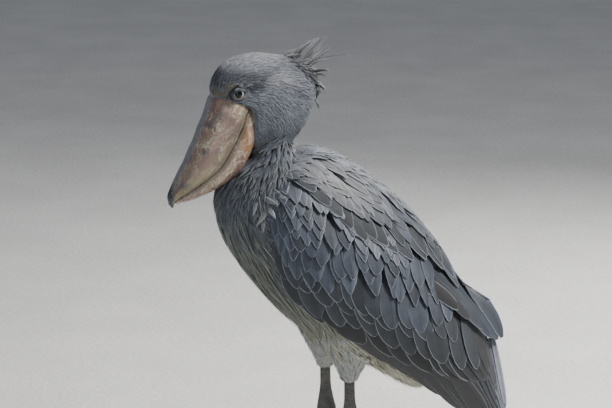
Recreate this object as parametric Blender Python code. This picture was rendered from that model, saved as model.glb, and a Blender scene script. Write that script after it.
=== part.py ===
"""A life-size shoebill standing at rest, its neck drawn in and its bill laid on its breast.

Metres, +Z up. The bird faces -Y and its left side is +X. The floor is z = 0, and the origin is the middle
of the bird's outline on the floor.
"""

import math
import random
from collections import namedtuple

import bmesh
import bpy
from mathutils import Matrix, Vector

GAP = 0.0005
# The rounded end of a trunk: its last ring's size and how far out it stands, as shares of the ring before.
CAP_SHARE = 0.72
CAP_REACH = 0.45
HEAD_TURN = math.radians(4.0)
NECK_AXIS = Vector((0.0, -0.10, 0.0))

# Each row of a trunk is a slice through the body: front point (y, z), back point (y, z), half width.
TORSO_ROWS = [
    (-0.243, 0.692, -0.052, 0.784, 0.090),
    (-0.234, 0.650, -0.012, 0.768, 0.102),
    (-0.213, 0.608, 0.030, 0.742, 0.114),
    (-0.171, 0.546, 0.092, 0.686, 0.124),
    (-0.118, 0.484, 0.143, 0.622, 0.122),
    (-0.053, 0.430, 0.178, 0.556, 0.108),
    (0.019, 0.391, 0.204, 0.494, 0.086),
    (0.085, 0.352, 0.224, 0.436, 0.062),
    (0.140, 0.322, 0.240, 0.388, 0.042),
]
NECK_ROWS = [
    (-0.150, 0.822, -0.078, 0.858, 0.044),
    (-0.180, 0.786, -0.078, 0.824, 0.056),
    (-0.216, 0.750, -0.076, 0.804, 0.070),
    (-0.238, 0.718, -0.066, 0.794, 0.082),
    (-0.238, 0.690, -0.050, 0.776, 0.086),
]
HEAD_ROWS = [
    (-0.163, 0.789, -0.250, 0.894, 0.046),
    (-0.146, 0.785, -0.246, 0.930, 0.054),
    (-0.127, 0.788, -0.221, 0.963, 0.061),
    (-0.108, 0.794, -0.175, 0.979, 0.066),
    (-0.091, 0.804, -0.124, 0.976, 0.065),
    (-0.078, 0.818, -0.082, 0.966, 0.058),
    (-0.064, 0.842, -0.057, 0.945, 0.043),
    (-0.053, 0.876, -0.045, 0.918, 0.020),
]
# Each row of the bill: ridge (y, z), mouth line (y, z), keel of the lower bill (y, z), half width.
BILL_ROWS = [
    (-0.240, 0.912, -0.177, 0.888, -0.158, 0.830, 0.0500),
    (-0.253, 0.896, -0.187, 0.869, -0.166, 0.803, 0.0590),
    (-0.262, 0.869, -0.197, 0.842, -0.174, 0.786, 0.0605),
    (-0.276, 0.834, -0.213, 0.809, -0.190, 0.758, 0.0590),
    (-0.291, 0.797, -0.235, 0.772, -0.211, 0.740, 0.0560),
    (-0.306, 0.764, -0.266, 0.744, -0.240, 0.723, 0.0510),
    (-0.319, 0.736, -0.296, 0.722, -0.272, 0.707, 0.0410),
    (-0.328, 0.712, -0.312, 0.709, -0.299, 0.699, 0.0270),
    (-0.328, 0.694, -0.3165, 0.6990, -0.311, 0.695, 0.0120),
]
HOOK_TIP = (-0.319, 0.685)
HOOK_TIP_SHARE = 0.22
LOWER_BILL_SHARE = 0.96
UPPER_BILL_ROUNDING = 0.80
LOWER_BILL_ROUNDING = 0.62
KEEL_RISE = 0.05
KEEL_HALF_ANGLE = 0.15

EYE_CENTRE = Vector((0.0478, -0.200, 0.911))
EYE_RADIUS = 0.0145
LID_THICKNESS = 0.0016
LID_OPENING = (0.0112, 0.0078)
LID_UPPER_SHARE = 0.86
LID_SLANT = 0.16
BROW_CENTRE = Vector((0.0450, -0.199, 0.9285))
BROW_RADII = Vector((0.0155, 0.0300, 0.0085))
NOSTRIL = Vector((0.0280, -0.2440, 0.8930))
NOSTRIL_RADII = Vector((0.0050, 0.0016, 0.0075))

# Each row of the folded wing: upper edge, bulge and lower edge, as (x, y, z) each.
WING_ROWS = [
    ((0.050, -0.114, 0.772), (0.110, -0.140, 0.736), (0.078, -0.158, 0.683)),
    ((0.055, -0.059, 0.787), (0.168, -0.110, 0.700), (0.098, -0.140, 0.595)),
    ((0.060, 0.007, 0.761), (0.192, -0.058, 0.650), (0.108, -0.103, 0.526)),
    ((0.060, 0.080, 0.710), (0.204, 0.012, 0.594), (0.112, -0.040, 0.472)),
    ((0.055, 0.143, 0.651), (0.200, 0.080, 0.536), (0.110, 0.027, 0.431)),
    ((0.045, 0.200, 0.577), (0.180, 0.146, 0.474), (0.100, 0.095, 0.386)),
    ((0.038, 0.244, 0.498), (0.148, 0.202, 0.412), (0.086, 0.159, 0.343)),
    ((0.036, 0.283, 0.420), (0.112, 0.254, 0.352), (0.072, 0.222, 0.297)),
    ((0.036, 0.308, 0.336), (0.076, 0.294, 0.292), (0.058, 0.277, 0.259)),
    ((0.035, 0.325, 0.262), (0.050, 0.320, 0.250), (0.046, 0.312, 0.236)),
]
WING_PLATE_END = 6.6
WING_PLATE_FOOT = 0.86
WING_PLATE_DEPTH = 0.009
WING_PLATE_THICKNESS = 0.015

# A tier of feathers: the tips go from first to last on the surface, bowed or with a sag between. The heading
# is the way they point along the surface's two directions. Root and tip are heights over the surface, each
# feather lies higher than the one before it by the climb, and roll is its lean in degrees.
Tier = namedtuple("Tier", "name count first last bow sag heading length half root tip climb roll pointed")
WING_TIERS = [
    Tier("primary", 4, (8.95, 0.80), (8.1, 0.12), 1, 0, (1.0, 0.03),
         0.285, 0.0185, -0.0150, -0.0115, 0.0010, 4, False),
    Tier("secondary", 4, (5.0, 1.0), (7.6, 0.97), 1, 0, (0.97, 0.20),
         0.190, 0.0220, -0.0140, -0.0100, 0.0010, 4, False),
    Tier("greater", 7, (2.5, 0.98), (6.8, 0.44), 1.9, 0, (0.7, 0.5),
         0.150, 0.0300, -0.0135, -0.0050, 0, 5.5, False),
    Tier("median", 7, (1.8, 0.90), (5.6, 0.32), 2, 0, (0.64, 0.58),
         0.115, 0.0275, -0.0130, -0.0030, 0, 5.5, False),
    Tier("lesser", 6, (1.0, 0.88), (4.9, 0.32), 1.15, 0, (0.55, 0.66),
         0.095, 0.0250, -0.0125, -0.0010, 0, 5.5, True),
    Tier("marginal", 5, (0.8, 0.62), (4.2, 0.24), 1.1, 0, (0.50, 0.68),
         0.080, 0.0250, -0.0125, 0.0010, 0, 5.5, True),
    Tier("tertial", 3, (6.2, 0.12), (7.1, -0.04), 1, 0, (0.98, -0.10),
         0.190, 0.0190, -0.0140, 0.0040, 0.0015, 4, False),
    Tier("scapular", 6, (1.75, 0.12), (4.7, 0.05), 1, 0.18, (0.95, 0.10),
         0.110, 0.0260, -0.0130, 0.0030, 0, 5, False),
]
# The plumes of the breast and the mantle: stations along the trunk, and angles round it in degrees.
BREAST_TIERS = [
    Tier("throat", 4, (2.0, -124.0), (2.0, -56.0), 1, 0, (1, 0), 0.080, 0.0125, -0.0040, 0.0035, 0, 2, True),
    Tier("breast", 5, (3.0, -130.0), (3.0, -50.0), 1, 0, (1, 0), 0.100, 0.0130, -0.0040, 0.0040, 0, 2, True),
    Tier("chest", 5, (4.0, -122.0), (4.0, -58.0), 1, 0, (1, 0), 0.105, 0.0125, -0.0040, 0.0040, 0, 2, True),
    Tier("belly", 3, (5.0, -104.0), (5.0, -76.0), 1, 0, (1, 0), 0.105, 0.0120, -0.0040, 0.0040, 0, 2, True),
]
MANTLE_TIERS = [
    Tier("upper mantle", 2, (2.2, 103.0), (2.2, 77.0), 1, 0, (1, 0),
         0.100, 0.0190, -0.0045, 0.0050, 0, 3, False),
    Tier("mantle", 2, (3.4, 99.0), (3.4, 81.0), 1, 0, (1, 0), 0.105, 0.0170, -0.0045, 0.0055, 0, 3, False),
    Tier("back", 2, (4.6, 103.0), (4.6, 77.0), 1, 0, (1, 0), 0.105, 0.0180, -0.0045, 0.0055, 0, 3, False),
    Tier("rump", 3, (5.9, 116.0), (5.9, 64.0), 1, 0, (1, 0), 0.110, 0.0160, -0.0045, 0.0055, 0, 3, False),
]
# A vane's stations from root to tip, and its half width at each as a share of the widest.
STATIONS = (0.0, 0.48, 0.84, 1.0)
ROUNDED = (0.50, 0.96, 0.92, 0.30)
POINTED = (0.45, 1.00, 0.64, 0.10)
CREST_STATIONS = (0.0, 0.62, 1.0)
CREST_WIDTHS = (0.60, 1.00, 0.12)
VANE_EDGE = 0.0006
VANE_MIDDLE = 0.0016
VANE_CAMBER = 0.05
FEATHER_SEED = 11

# The crest and nape: root (y, z), middle (y, z), tip (y, z), half width; the roots lie inside the head.
CREST_VANES = [
    (-0.092, 0.968, -0.074, 0.985, -0.054, 1.000, 0.0050),
    (-0.086, 0.964, -0.066, 0.986, -0.047, 1.0035, 0.0055),
    (-0.080, 0.962, -0.060, 0.985, -0.039, 1.005, 0.0060),
    (-0.075, 0.958, -0.052, 0.981, -0.031, 1.0045, 0.0060),
    (-0.070, 0.954, -0.046, 0.976, -0.024, 1.0035, 0.0055),
    (-0.067, 0.950, -0.044, 0.970, -0.022, 0.989, 0.0055),
    (-0.076, 0.955, -0.0115, 0.969, 0.0215, 0.9675, 0.0030),
    (-0.066, 0.944, -0.044, 0.956, -0.020, 0.962, 0.0070),
    (-0.063, 0.936, -0.042, 0.944, -0.024, 0.944, 0.0080),
    (-0.060, 0.926, -0.040, 0.931, -0.025, 0.926, 0.0085),
    (-0.058, 0.915, -0.041, 0.916, -0.031, 0.907, 0.0085),
    (-0.057, 0.903, -0.044, 0.901, -0.037, 0.889, 0.0085),
    (-0.058, 0.890, -0.049, 0.886, -0.043, 0.870, 0.0085),
]
CREST_SPREAD = (0.0, 0.006, -0.006, 0.003, -0.007, 0.007, 0.001, -0.004, 0.009, -0.010, 0.010, -0.009, 0.008)

TAIL_ROOT = Vector((0.0, 0.165, 0.376))
TAIL_TIP = Vector((0.0, 0.330, 0.226))
TAIL_FEATHERS = 10
TAIL_FAN = 0.036
TAIL_HALF_WIDTH = 0.019
TAIL_CURVE = 0.016
# Each row of the tail's root: station along the tail, half width, half depth.
TAIL_CORE_ROWS = [
    (0.0, 0.034, 0.020),
    (0.25, 0.036, 0.016),
    (0.45, 0.032, 0.008),
    (0.55, 0.024, 0.004),
]
TAIL_CORE_SIDES = 16

THIGH_ROWS = [
    (0.500, -0.012, 0.045, 0.056),
    (0.455, -0.002, 0.043, 0.054),
    (0.425, 0.003, 0.039, 0.048),
    (0.395, 0.006, 0.032, 0.035),
    (0.368, 0.005, 0.019, 0.020),
    (0.356, 0.004, 0.015, 0.016),
]
LEG_ROWS = [
    (0.385, 0.004, 0.0098, 0.0108),
    (0.320, 0.005, 0.0095, 0.0105),
    (0.288, 0.006, 0.0125, 0.0150),
    (0.265, 0.007, 0.0155, 0.0190),
    (0.244, 0.006, 0.0130, 0.0160),
    (0.215, 0.004, 0.0088, 0.0108),
    (0.120, 0.001, 0.0082, 0.0100),
    (0.060, 0.000, 0.0090, 0.0110),
    (0.036, 0.000, 0.0130, 0.0150),
    (0.020, -0.003, 0.0185, 0.0205),
    (-0.004, -0.003, 0.0180, 0.0200),
]
LEFT_LEG = (0.055, 0.008)
RIGHT_LEG = (-0.055, -0.026)

# Each toe: heading from straight ahead towards the outside, length, root radius.
TOES = {
    "middle": (math.radians(6.0), 0.152, 0.0098),
    "inner": (math.radians(-24.0), 0.122, 0.0088),
    "outer": (math.radians(38.0), 0.128, 0.0090),
    "hind": (math.radians(190.0), 0.078, 0.0086),
}
CLAW_LENGTH = 0.024

COLOURS = {
    "plumage": ((0.22, 0.25, 0.31), 0.8),
    "wing": ((0.16, 0.19, 0.25), 0.7),
    "bill": ((0.50, 0.40, 0.31), 0.45),
    "leg": ((0.06, 0.065, 0.06), 0.6),
    "claw": ((0.03, 0.03, 0.03), 0.4),
    "thigh": ((0.42, 0.44, 0.43), 0.85),
    "eye": ((0.45, 0.55, 0.50), 0.1),
}


def along(rows, t):
    """The sizes at station t of a list of rows, smooth between them."""
    last = len(rows) - 1
    t = max(0.0, min(float(last), t))
    i = min(int(t), last - 1)
    f = t - i
    quad = rows[max(i - 1, 0)], rows[i], rows[i + 1], rows[min(i + 2, last)]
    return [
        0.5 * (2 * b + (c - a) * f + (2 * a - 5 * b + 4 * c - d) * f**2 + (3 * b - a - 3 * c + d) * f**3)
        for a, b, c, d in zip(*quad)
    ]


def collection(name):
    """A new collection in the scene."""
    made = bpy.data.collections.new(name)
    bpy.context.scene.collection.children.link(made)
    return made


def material(name):
    """The material of one kind of surface."""
    found = bpy.data.materials.get(name)
    if found:
        return found
    colour, roughness = COLOURS[name]
    made = bpy.data.materials.new(name)
    made.use_nodes = True
    shader = made.node_tree.nodes["Principled BSDF"]
    shader.inputs["Base Color"].default_value = (*colour, 1.0)
    shader.inputs["Roughness"].default_value = roughness
    shader.inputs["Metallic"].default_value = 0.0
    return made


def place(bm, name, finish, home):
    """Turns a bmesh into a named object with its finish, faces pointing out."""
    bmesh.ops.recalc_face_normals(bm, faces=bm.faces)
    mesh = bpy.data.meshes.new(name)
    bm.to_mesh(mesh)
    bm.free()
    mesh.materials.append(material(finish))
    obj = bpy.data.objects.new(name, mesh)
    home.objects.link(obj)
    return obj


def loft(name, rings, finish, home):
    """A closed form through rings of points, each ring the same count, with its ends filled."""
    bm = bmesh.new()
    loops = [[bm.verts.new(point) for point in ring] for ring in rings]
    count = len(rings[0])
    for lower, upper in zip(loops, loops[1:]):
        for i in range(count):
            j = (i + 1) % count
            bm.faces.new((lower[i], lower[j], upper[j], upper[i]))
    for loop in (loops[0], loops[-1]):
        hub = bm.verts.new(sum((v.co for v in loop), Vector()) / count)
        for i in range(count):
            bm.faces.new((loop[i], loop[(i + 1) % count], hub))
    return place(bm, name, finish, home)


def vane(name, path, half, widths, roll, finish, home):
    """A closed feather vane along a path of (centre, outward normal) pairs, thickest down its middle.

    Both faces are split into triangles alike, so that they never cross where the vane curves.
    """
    bm = bmesh.new()
    rows = []
    for i, (centre, normal) in enumerate(path):
        before, after = path[max(i - 1, 0)][0], path[min(i + 1, len(path) - 1)][0]
        side = (after - before).cross(normal).normalized()
        turn = math.radians(roll)
        upright = normal * math.cos(turn) - side * math.sin(turn)
        side = side * math.cos(turn) + normal * math.sin(turn)
        wide = half * widths[i]
        row = []
        camber = VANE_CAMBER * wide
        for across, rise, thick in ((1, 0, VANE_EDGE), (0, camber, VANE_MIDDLE), (-1, 0, VANE_EDGE)):
            middle = centre + side * (wide * across) + upright * rise
            over = upright * thick / 2
            row.append((bm.verts.new(middle + over), bm.verts.new(middle - over)))
        rows.append(row)
    for near, far in zip(rows, rows[1:]):
        for j in (0, 1):
            for face in (0, 1):
                bm.faces.new((near[j][face], near[j + 1][face], far[j + 1][face]))
                bm.faces.new((near[j][face], far[j + 1][face], far[j][face]))
        for j in (0, 2):
            bm.faces.new((near[j][0], far[j][0], far[j][1], near[j][1]))
    for row in (rows[0], rows[-1]):
        for j in (0, 1):
            bm.faces.new((row[j][0], row[j + 1][0], row[j + 1][1], row[j][1]))
    return place(bm, name, finish, home)


def laid_path(surface, tip, heading, length, root, rise):
    """A vane's path over a surface: its root sunk by root, its tip at rise, pointing along the heading."""
    strides = 50
    walk = [tip]
    for _ in range(strides):
        across, along_it = walk[-1]
        _, _, run, fall = surface(across, along_it)
        stride = length / strides
        walk.append((
            across - stride * heading[0] / max(run.length, 0.04),
            along_it - stride * heading[1] / max(fall.length, 1e-4),
        ))
    path = []
    for t in STATIONS:
        point, normal, _, _ = surface(*walk[round((1 - t) * strides)])
        path.append((point + normal * (root + (rise - root) * t**0.8), normal))
    return path


def tier_of_vanes(tier, surface, finish, home, draw):
    """Every vane of one tier, each a little unlike the others."""
    for i in range(tier.count):
        share = i / (tier.count - 1)
        sag = tier.sag * math.sin(math.pi * share)
        tip = (
            tier.first[0] + (tier.last[0] - tier.first[0]) * share,
            tier.first[1] + (tier.last[1] - tier.first[1]) * share**tier.bow + sag,
        )
        length = tier.length * draw.uniform(0.96, 1.04)
        roll = tier.roll + draw.uniform(-0.6, 0.6)
        climb = tier.climb * i
        path = laid_path(surface, tip, tier.heading, length, tier.root, tier.tip + climb)
        widths = POINTED if tier.pointed else ROUNDED
        vane(f"{tier.name}_{i}", path, tier.half, widths, roll, finish, home)


def joined(core, pieces):
    """Joins a core with every piece of a collection in one union, then removes the pieces."""
    modifier = core.modifiers.new("joined", "BOOLEAN")
    modifier.operation = "UNION"
    modifier.operand_type = "COLLECTION"
    modifier.collection = pieces
    modifier.solver = "MANIFOLD"
    baked(core)
    for piece in list(pieces.objects):
        bpy.data.objects.remove(piece)
    bpy.data.collections.remove(pieces)
    return core


def slice_ring(row, sides):
    """The oval ring of one trunk row: front point, back point and half width."""
    front_y, front_z, back_y, back_z, half_width = row
    centre = Vector((0.0, (front_y + back_y) / 2, (front_z + back_z) / 2))
    half_depth = Vector((0.0, (back_y - front_y) / 2, (back_z - front_z) / 2))
    ring = []
    for i in range(sides):
        angle = 2 * math.pi * i / sides
        ring.append(centre + half_depth * math.sin(angle) + Vector((half_width * math.cos(angle), 0, 0)))
    return ring


def trunk(name, rows, steps, sides, finish, home):
    """A trunk-like form through its rows, with rounded ends."""
    last = len(rows) - 1
    rings = [slice_ring(along(rows, last * i / steps), sides) for i in range(steps + 1)]
    for end, inner in ((0, 1), (-1, -2)):
        centre = sum(rings[end], Vector()) / sides
        onward = centre - sum(rings[inner], Vector()) / sides
        cap = [centre + (point - centre) * CAP_SHARE + onward * CAP_REACH for point in rings[end]]
        rings.insert(0 if end == 0 else len(rings), cap)
    return loft(name, rings, finish, home)


def torso_frame(s, degrees):
    """The trunk at station s and an angle round it: the point, the unit normal outwards and two tangents."""
    def at(station, angle):
        front_y, front_z, back_y, back_z, half_width = along(TORSO_ROWS, station)
        turn = math.radians(angle)
        return Vector((
            half_width * math.cos(turn),
            (front_y + back_y) / 2 + (back_y - front_y) / 2 * math.sin(turn),
            (front_z + back_z) / 2 + (back_z - front_z) / 2 * math.sin(turn),
        ))

    step = 0.01
    run = (at(s + step, degrees) - at(s - step, degrees)) / (2 * step)
    fall = (at(s, degrees + 1) - at(s, degrees - 1)) / 2
    normal = run.cross(fall).normalized()
    outward = at(s, degrees) - at(s, degrees + 180)
    if normal.dot(outward) < 0:
        normal.negate()
    return at(s, degrees), normal, run, fall


def turn_head(obj):
    """Turns a piece of the head about the neck."""
    obj.data.transform(
        Matrix.Translation(NECK_AXIS) @ Matrix.Rotation(HEAD_TURN, 4, "Z") @ Matrix.Translation(-NECK_AXIS)
    )
    return obj


def baked(obj):
    """Replaces an object's mesh by its evaluated one, and keeps its largest closed surface."""
    graph = bpy.context.evaluated_depsgraph_get()
    mesh = bpy.data.meshes.new_from_object(obj.evaluated_get(graph))
    obj.modifiers.clear()
    obj.data = mesh
    bm = bmesh.new()
    bm.from_mesh(mesh)
    left = set(bm.verts)
    shells = []
    while left:
        shell, edge = set(), [left.pop()]
        while edge:
            vertex = edge.pop()
            shell.add(vertex)
            for link in vertex.link_edges:
                other = link.other_vert(vertex)
                if other in left:
                    left.remove(other)
                    edge.append(other)
        shells.append(shell)
    shells.sort(key=len)
    for shell in shells[:-1]:
        bmesh.ops.delete(bm, geom=list(shell), context="VERTS")
    bm.to_mesh(mesh)
    bm.free()
    return obj


def grown(obj, gap, cutters):
    """A copy of an object whose surface stands out by the gap, to cut its neighbour with."""
    bm = bmesh.new()
    bm.from_mesh(obj.data)
    bm.normal_update()
    moves = [vertex.normal * min(vertex.calc_shell_factor(), 2.5) * gap for vertex in bm.verts]
    for vertex, move in zip(bm.verts, moves):
        vertex.co += move
    mesh = bpy.data.meshes.new(obj.name + "_room")
    bm.to_mesh(mesh)
    bm.free()
    copy = bpy.data.objects.new(obj.name + "_room", mesh)
    copy.hide_render = True
    copy.display_type = "WIRE"
    cutters.objects.link(copy)
    return copy


def cut_clear(obj, neighbours, cutters):
    """Cuts an object back from its neighbours, leaving the gap between them."""
    for neighbour in neighbours:
        cutter = grown(neighbour, GAP, cutters)
        modifier = obj.modifiers.new("room", "BOOLEAN")
        modifier.operation = "DIFFERENCE"
        modifier.object = cutter
        modifier.solver = "MANIFOLD"
        baked(obj)
        bpy.data.objects.remove(cutter)
    return obj


def cut_out(obj, cutter):
    """Cuts a shape out of an object, then removes the shape."""
    modifier = obj.modifiers.new("cut", "BOOLEAN")
    modifier.operation = "DIFFERENCE"
    modifier.object = cutter
    modifier.solver = "MANIFOLD"
    baked(obj)
    bpy.data.objects.remove(cutter)
    return obj


def bill_ring(row, upper, sides):
    """One ring of the upper or lower bill: a keeled roof over a flat, or a shallow boat under it."""
    ridge_y, ridge_z, mouth_y, mouth_z, keel_y, keel_z, half_width = row
    mouth = Vector((0.0, mouth_y, mouth_z))
    far = Vector((0.0, ridge_y, ridge_z)) if upper else Vector((0.0, keel_y, keel_z))
    rise = far - mouth
    lip = mouth + rise.normalized() * GAP
    half_width *= 1.0 if upper else LOWER_BILL_SHARE
    power = UPPER_BILL_ROUNDING if upper else LOWER_BILL_ROUNDING
    ring = []
    for i in range(sides + 1):
        angle = math.pi * i / sides
        height = math.sin(angle) ** power
        if upper and abs(angle - math.pi / 2) < KEEL_HALF_ANGLE:
            height += KEEL_RISE
        ring.append(lip + (far - lip) * height / (1 + KEEL_RISE if upper else 1.0)
                    + Vector((half_width * math.cos(angle), 0, 0)))
    return ring


def bill(name, upper, steps, sides, home):
    """The upper or the lower bill, lofted along the mouth line from inside the head to the tip."""
    last = len(BILL_ROWS) - 1
    rings = [bill_ring(along(BILL_ROWS, last * i / steps), upper, sides) for i in range(steps + 1)]
    if upper:
        tip = Vector((0.0, *HOOK_TIP))
        rings.append([tip + (point - tip) * HOOK_TIP_SHARE for point in rings[-1]])
    return turn_head(loft(name, rings, "bill", home))


def ball(name, centre, radii, finish, home, segments=12, rings=7):
    """A round or oval form, its poles to the left and right."""
    bm = bmesh.new()
    bmesh.ops.create_uvsphere(bm, u_segments=segments, v_segments=rings, radius=1.0)
    bmesh.ops.rotate(bm, verts=bm.verts, matrix=Matrix.Rotation(math.pi / 2, 3, "Y"))
    bmesh.ops.scale(bm, verts=bm.verts, vec=radii)
    bmesh.ops.translate(bm, verts=bm.verts, vec=centre)
    return place(bm, name, finish, home)


def on_side(vector, side):
    """A place of the left side, or its mirror place on the right."""
    return Vector((side * vector.x, vector.y, vector.z))


def lid_opening(side, home):
    """The almond-shaped opening between the lids, as a prism that reaches out past the eye."""
    centre = on_side(EYE_CENTRE, side)
    half_length, half_height = LID_OPENING
    outline = []
    for k in range(12):
        angle = 2 * math.pi * k / 12
        reach = half_length * math.cos(angle)
        height = half_height * math.sin(angle) * (1.0 if math.sin(angle) < 0 else LID_UPPER_SHARE)
        outline.append(Vector((0.0, reach, height + LID_SLANT * reach)))
    rings = [[centre + point + Vector((side * x, 0, 0)) for point in outline] for x in (0.002, 0.030)]
    return turn_head(loft(f"opening_{side}", rings, "eye", home))


def crest_vane(name, sizes, spread, home):
    """A thin curved feather of the crest or nape, standing off the back of the head."""
    root_y, root_z, middle_y, middle_z, tip_y, tip_z, half = sizes
    root, tip = Vector((spread * 0.5, root_y, root_z)), Vector((spread * 2.4, tip_y, tip_z))
    middle = Vector((spread * 1.5, middle_y, middle_z))
    path = []
    for t in CREST_STATIONS:
        centre = root * ((1 - t) * (1 - 2 * t)) + middle * (4 * t * (1 - t)) + tip * (t * (2 * t - 1))
        slope = root * (4 * t - 3) + middle * (4 - 8 * t) + tip * (4 * t - 1)
        path.append((centre, Vector((spread * 40, -slope.z, slope.y)).normalized()))
    return turn_head(vane(name, path, half, CREST_WIDTHS, 0.0, "plumage", home))


def wing_point(u, v):
    """A point of the left wing's outer surface: u runs from shoulder to tip, v from upper to lower edge."""
    rows = [[*top, *bulge, *foot] for top, bulge, foot in WING_ROWS]
    sizes = along(rows, u)
    top, bulge, foot = Vector(sizes[0:3]), Vector(sizes[3:6]), Vector(sizes[6:9])
    return top * (1 - v) ** 2 + bulge * (2 * v * (1 - v)) + foot * v**2


def wing_frame(u, v):
    """The point, the unit normal outwards and the two tangents of the left wing at (u, v)."""
    step = 0.01
    run = (wing_point(u + step, v) - wing_point(u - step, v)) / (2 * step)
    fall = (wing_point(u, v + step) - wing_point(u, v - step)) / (2 * step)
    normal = run.cross(fall).normalized()
    if normal.x < 0:
        normal.negate()
    return wing_point(u, v), normal, run, fall


def wing_plate(name, home):
    """The closed base of the left wing under its feathers: two sheets a plate's thickness apart."""
    steps, sides = 8, 5
    rings = []
    for i in range(steps + 1):
        u = WING_PLATE_END * i / steps
        slim = min(1.0, (WING_PLATE_END - u) / 2.0 + 0.25, u + 0.3)
        outer, inner = [], []
        for j in range(sides + 1):
            v = WING_PLATE_FOOT * j / sides
            point, normal, _, _ = wing_frame(max(u, 0.02), v)
            edge = min(1.0, 0.3 + 5 * v, 0.3 + 5 * (WING_PLATE_FOOT - v))
            outer.append(point - normal * WING_PLATE_DEPTH)
            inner.append(point - normal * (WING_PLATE_DEPTH + WING_PLATE_THICKNESS * slim * edge))
        rings.append(outer + inner[::-1])
    return loft(name, rings, "wing", home)


def mirrored(obj, name, home):
    """A copy of an object on the other side of the body."""
    bm = bmesh.new()
    bm.from_mesh(obj.data)
    bmesh.ops.scale(bm, verts=bm.verts, vec=(-1, 1, 1))
    mesh = bpy.data.meshes.new(name)
    bmesh.ops.recalc_face_normals(bm, faces=bm.faces)
    bm.to_mesh(mesh)
    bm.free()
    mesh.materials.append(obj.data.materials[0])
    copy = bpy.data.objects.new(name, mesh)
    home.objects.link(copy)
    return copy


def pillar(name, rows, foot, steps, sides, finish, home):
    """An upright form on a leg's place: each row is height, set-back, half width and half depth."""
    rings = []
    for i in range(steps + 1):
        z, back, wide, deep = along(rows, (len(rows) - 1) * i / steps)
        rings.append([
            Vector((foot[0] + wide * math.cos(a), foot[1] + back + deep * math.sin(a), z))
            for a in (2 * math.pi * k / sides for k in range(sides))
        ])
    return loft(name, rings, finish, home)


def flat_on_floor(obj):
    """Cuts off whatever reaches below the floor and closes the flat."""
    bm = bmesh.new()
    bm.from_mesh(obj.data)
    cut = bmesh.ops.bisect_plane(
        bm, geom=bm.verts[:] + bm.edges[:] + bm.faces[:], plane_co=(0, 0, 0), plane_no=(0, 0, -1),
        clear_outer=True,
    )
    edges = [item for item in cut["geom_cut"] if isinstance(item, bmesh.types.BMEdge)]
    bmesh.ops.contextual_create(bm, geom=edges)
    bm.to_mesh(obj.data)
    bm.free()
    return obj


def toe(name, foot, side, kind, home):
    """A toe lying on the floor, thicker at each joint pad."""
    heading, length, radius = TOES[kind]
    ahead = Vector((side * math.sin(heading), -math.cos(heading), 0.0))
    across = Vector((-ahead.y, ahead.x, 0.0))
    root = Vector((foot[0], foot[1], 0.0))
    rings = []
    steps = 7
    for i in range(steps + 1):
        t = i / steps
        girth = radius * (1.0 - 0.42 * t) * (1.0 + 0.10 * math.cos(3 * 2 * math.pi * t))
        centre = root + ahead * (length * t) + Vector((0, 0, girth * 0.86 + 0.002 * (1 - t)))
        rings.append([
            centre + across * (girth * math.cos(a)) + Vector((0, 0, girth * math.sin(a)))
            for a in (2 * math.pi * (k + 0.5) / 7 for k in range(7))
        ])
    return flat_on_floor(loft(name, rings, "leg", home))


def claw(name, foot, side, kind, home):
    """The curved claw at the end of a toe, its tip just clear of the floor."""
    heading, length, radius = TOES[kind]
    ahead = Vector((side * math.sin(heading), -math.cos(heading), 0.0))
    across = Vector((-ahead.y, ahead.x, 0.0))
    root = Vector((foot[0], foot[1], 0.0)) + ahead * (length - 0.004)
    rings = []
    steps = 4
    for i in range(steps + 1):
        t = i / steps
        thick = radius * 0.50 * (1.0 - 0.85 * t)
        height = 0.0062 + 0.0045 * math.sin(2.2 * t) - 0.0062 * t * t
        centre = root + ahead * (CLAW_LENGTH * t) + Vector((0, 0, max(height, thick)))
        rings.append([
            centre + across * (thick * 0.8 * math.cos(a)) + Vector((0, 0, thick * math.sin(a)))
            for a in (2 * math.pi * k / 5 for k in range(5))
        ])
    return flat_on_floor(loft(name, rings, "claw", home))


def tail_core(home):
    """The short root of the tail, which its feathers grow from."""
    along_tail = TAIL_TIP - TAIL_ROOT
    up = Vector((0.0, -along_tail.z, along_tail.y)).normalized()
    rings = []
    for t, half, deep in TAIL_CORE_ROWS:
        centre = TAIL_ROOT + along_tail * t
        rings.append([
            centre + Vector((half * math.cos(a), 0, 0)) + up * (deep * math.sin(a))
            for a in (2 * math.pi * k / TAIL_CORE_SIDES for k in range(TAIL_CORE_SIDES))
        ])
    return loft("tail", rings, "wing", home)


def tail_vanes(home, draw):
    """The tail feathers, fanned a little, the middle pair on top."""
    along_tail = TAIL_TIP - TAIL_ROOT
    up = Vector((0.0, -along_tail.z, along_tail.y)).normalized()
    for i in range(TAIL_FEATHERS):
        share = 2 * i / (TAIL_FEATHERS - 1) - 1
        side = 1 if share > 0 else -1
        root = TAIL_ROOT + along_tail * 0.12 + Vector((share * TAIL_FAN * 0.45, 0, 0))
        root -= up * 0.010 * abs(share)
        tip = TAIL_TIP + Vector((share * TAIL_FAN, 0, 0))
        tip -= along_tail * (0.06 * share**2 + draw.uniform(0, 0.01))
        tip -= up * (TAIL_CURVE * abs(share))
        normal = (up + Vector((share * 0.35, 0, 0))).normalized()
        path = [(root.lerp(tip, t), normal) for t in STATIONS]
        vane(f"tail_feather_{i}", path, TAIL_HALF_WIDTH, ROUNDED, -side * 4.0, "wing", home)


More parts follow.
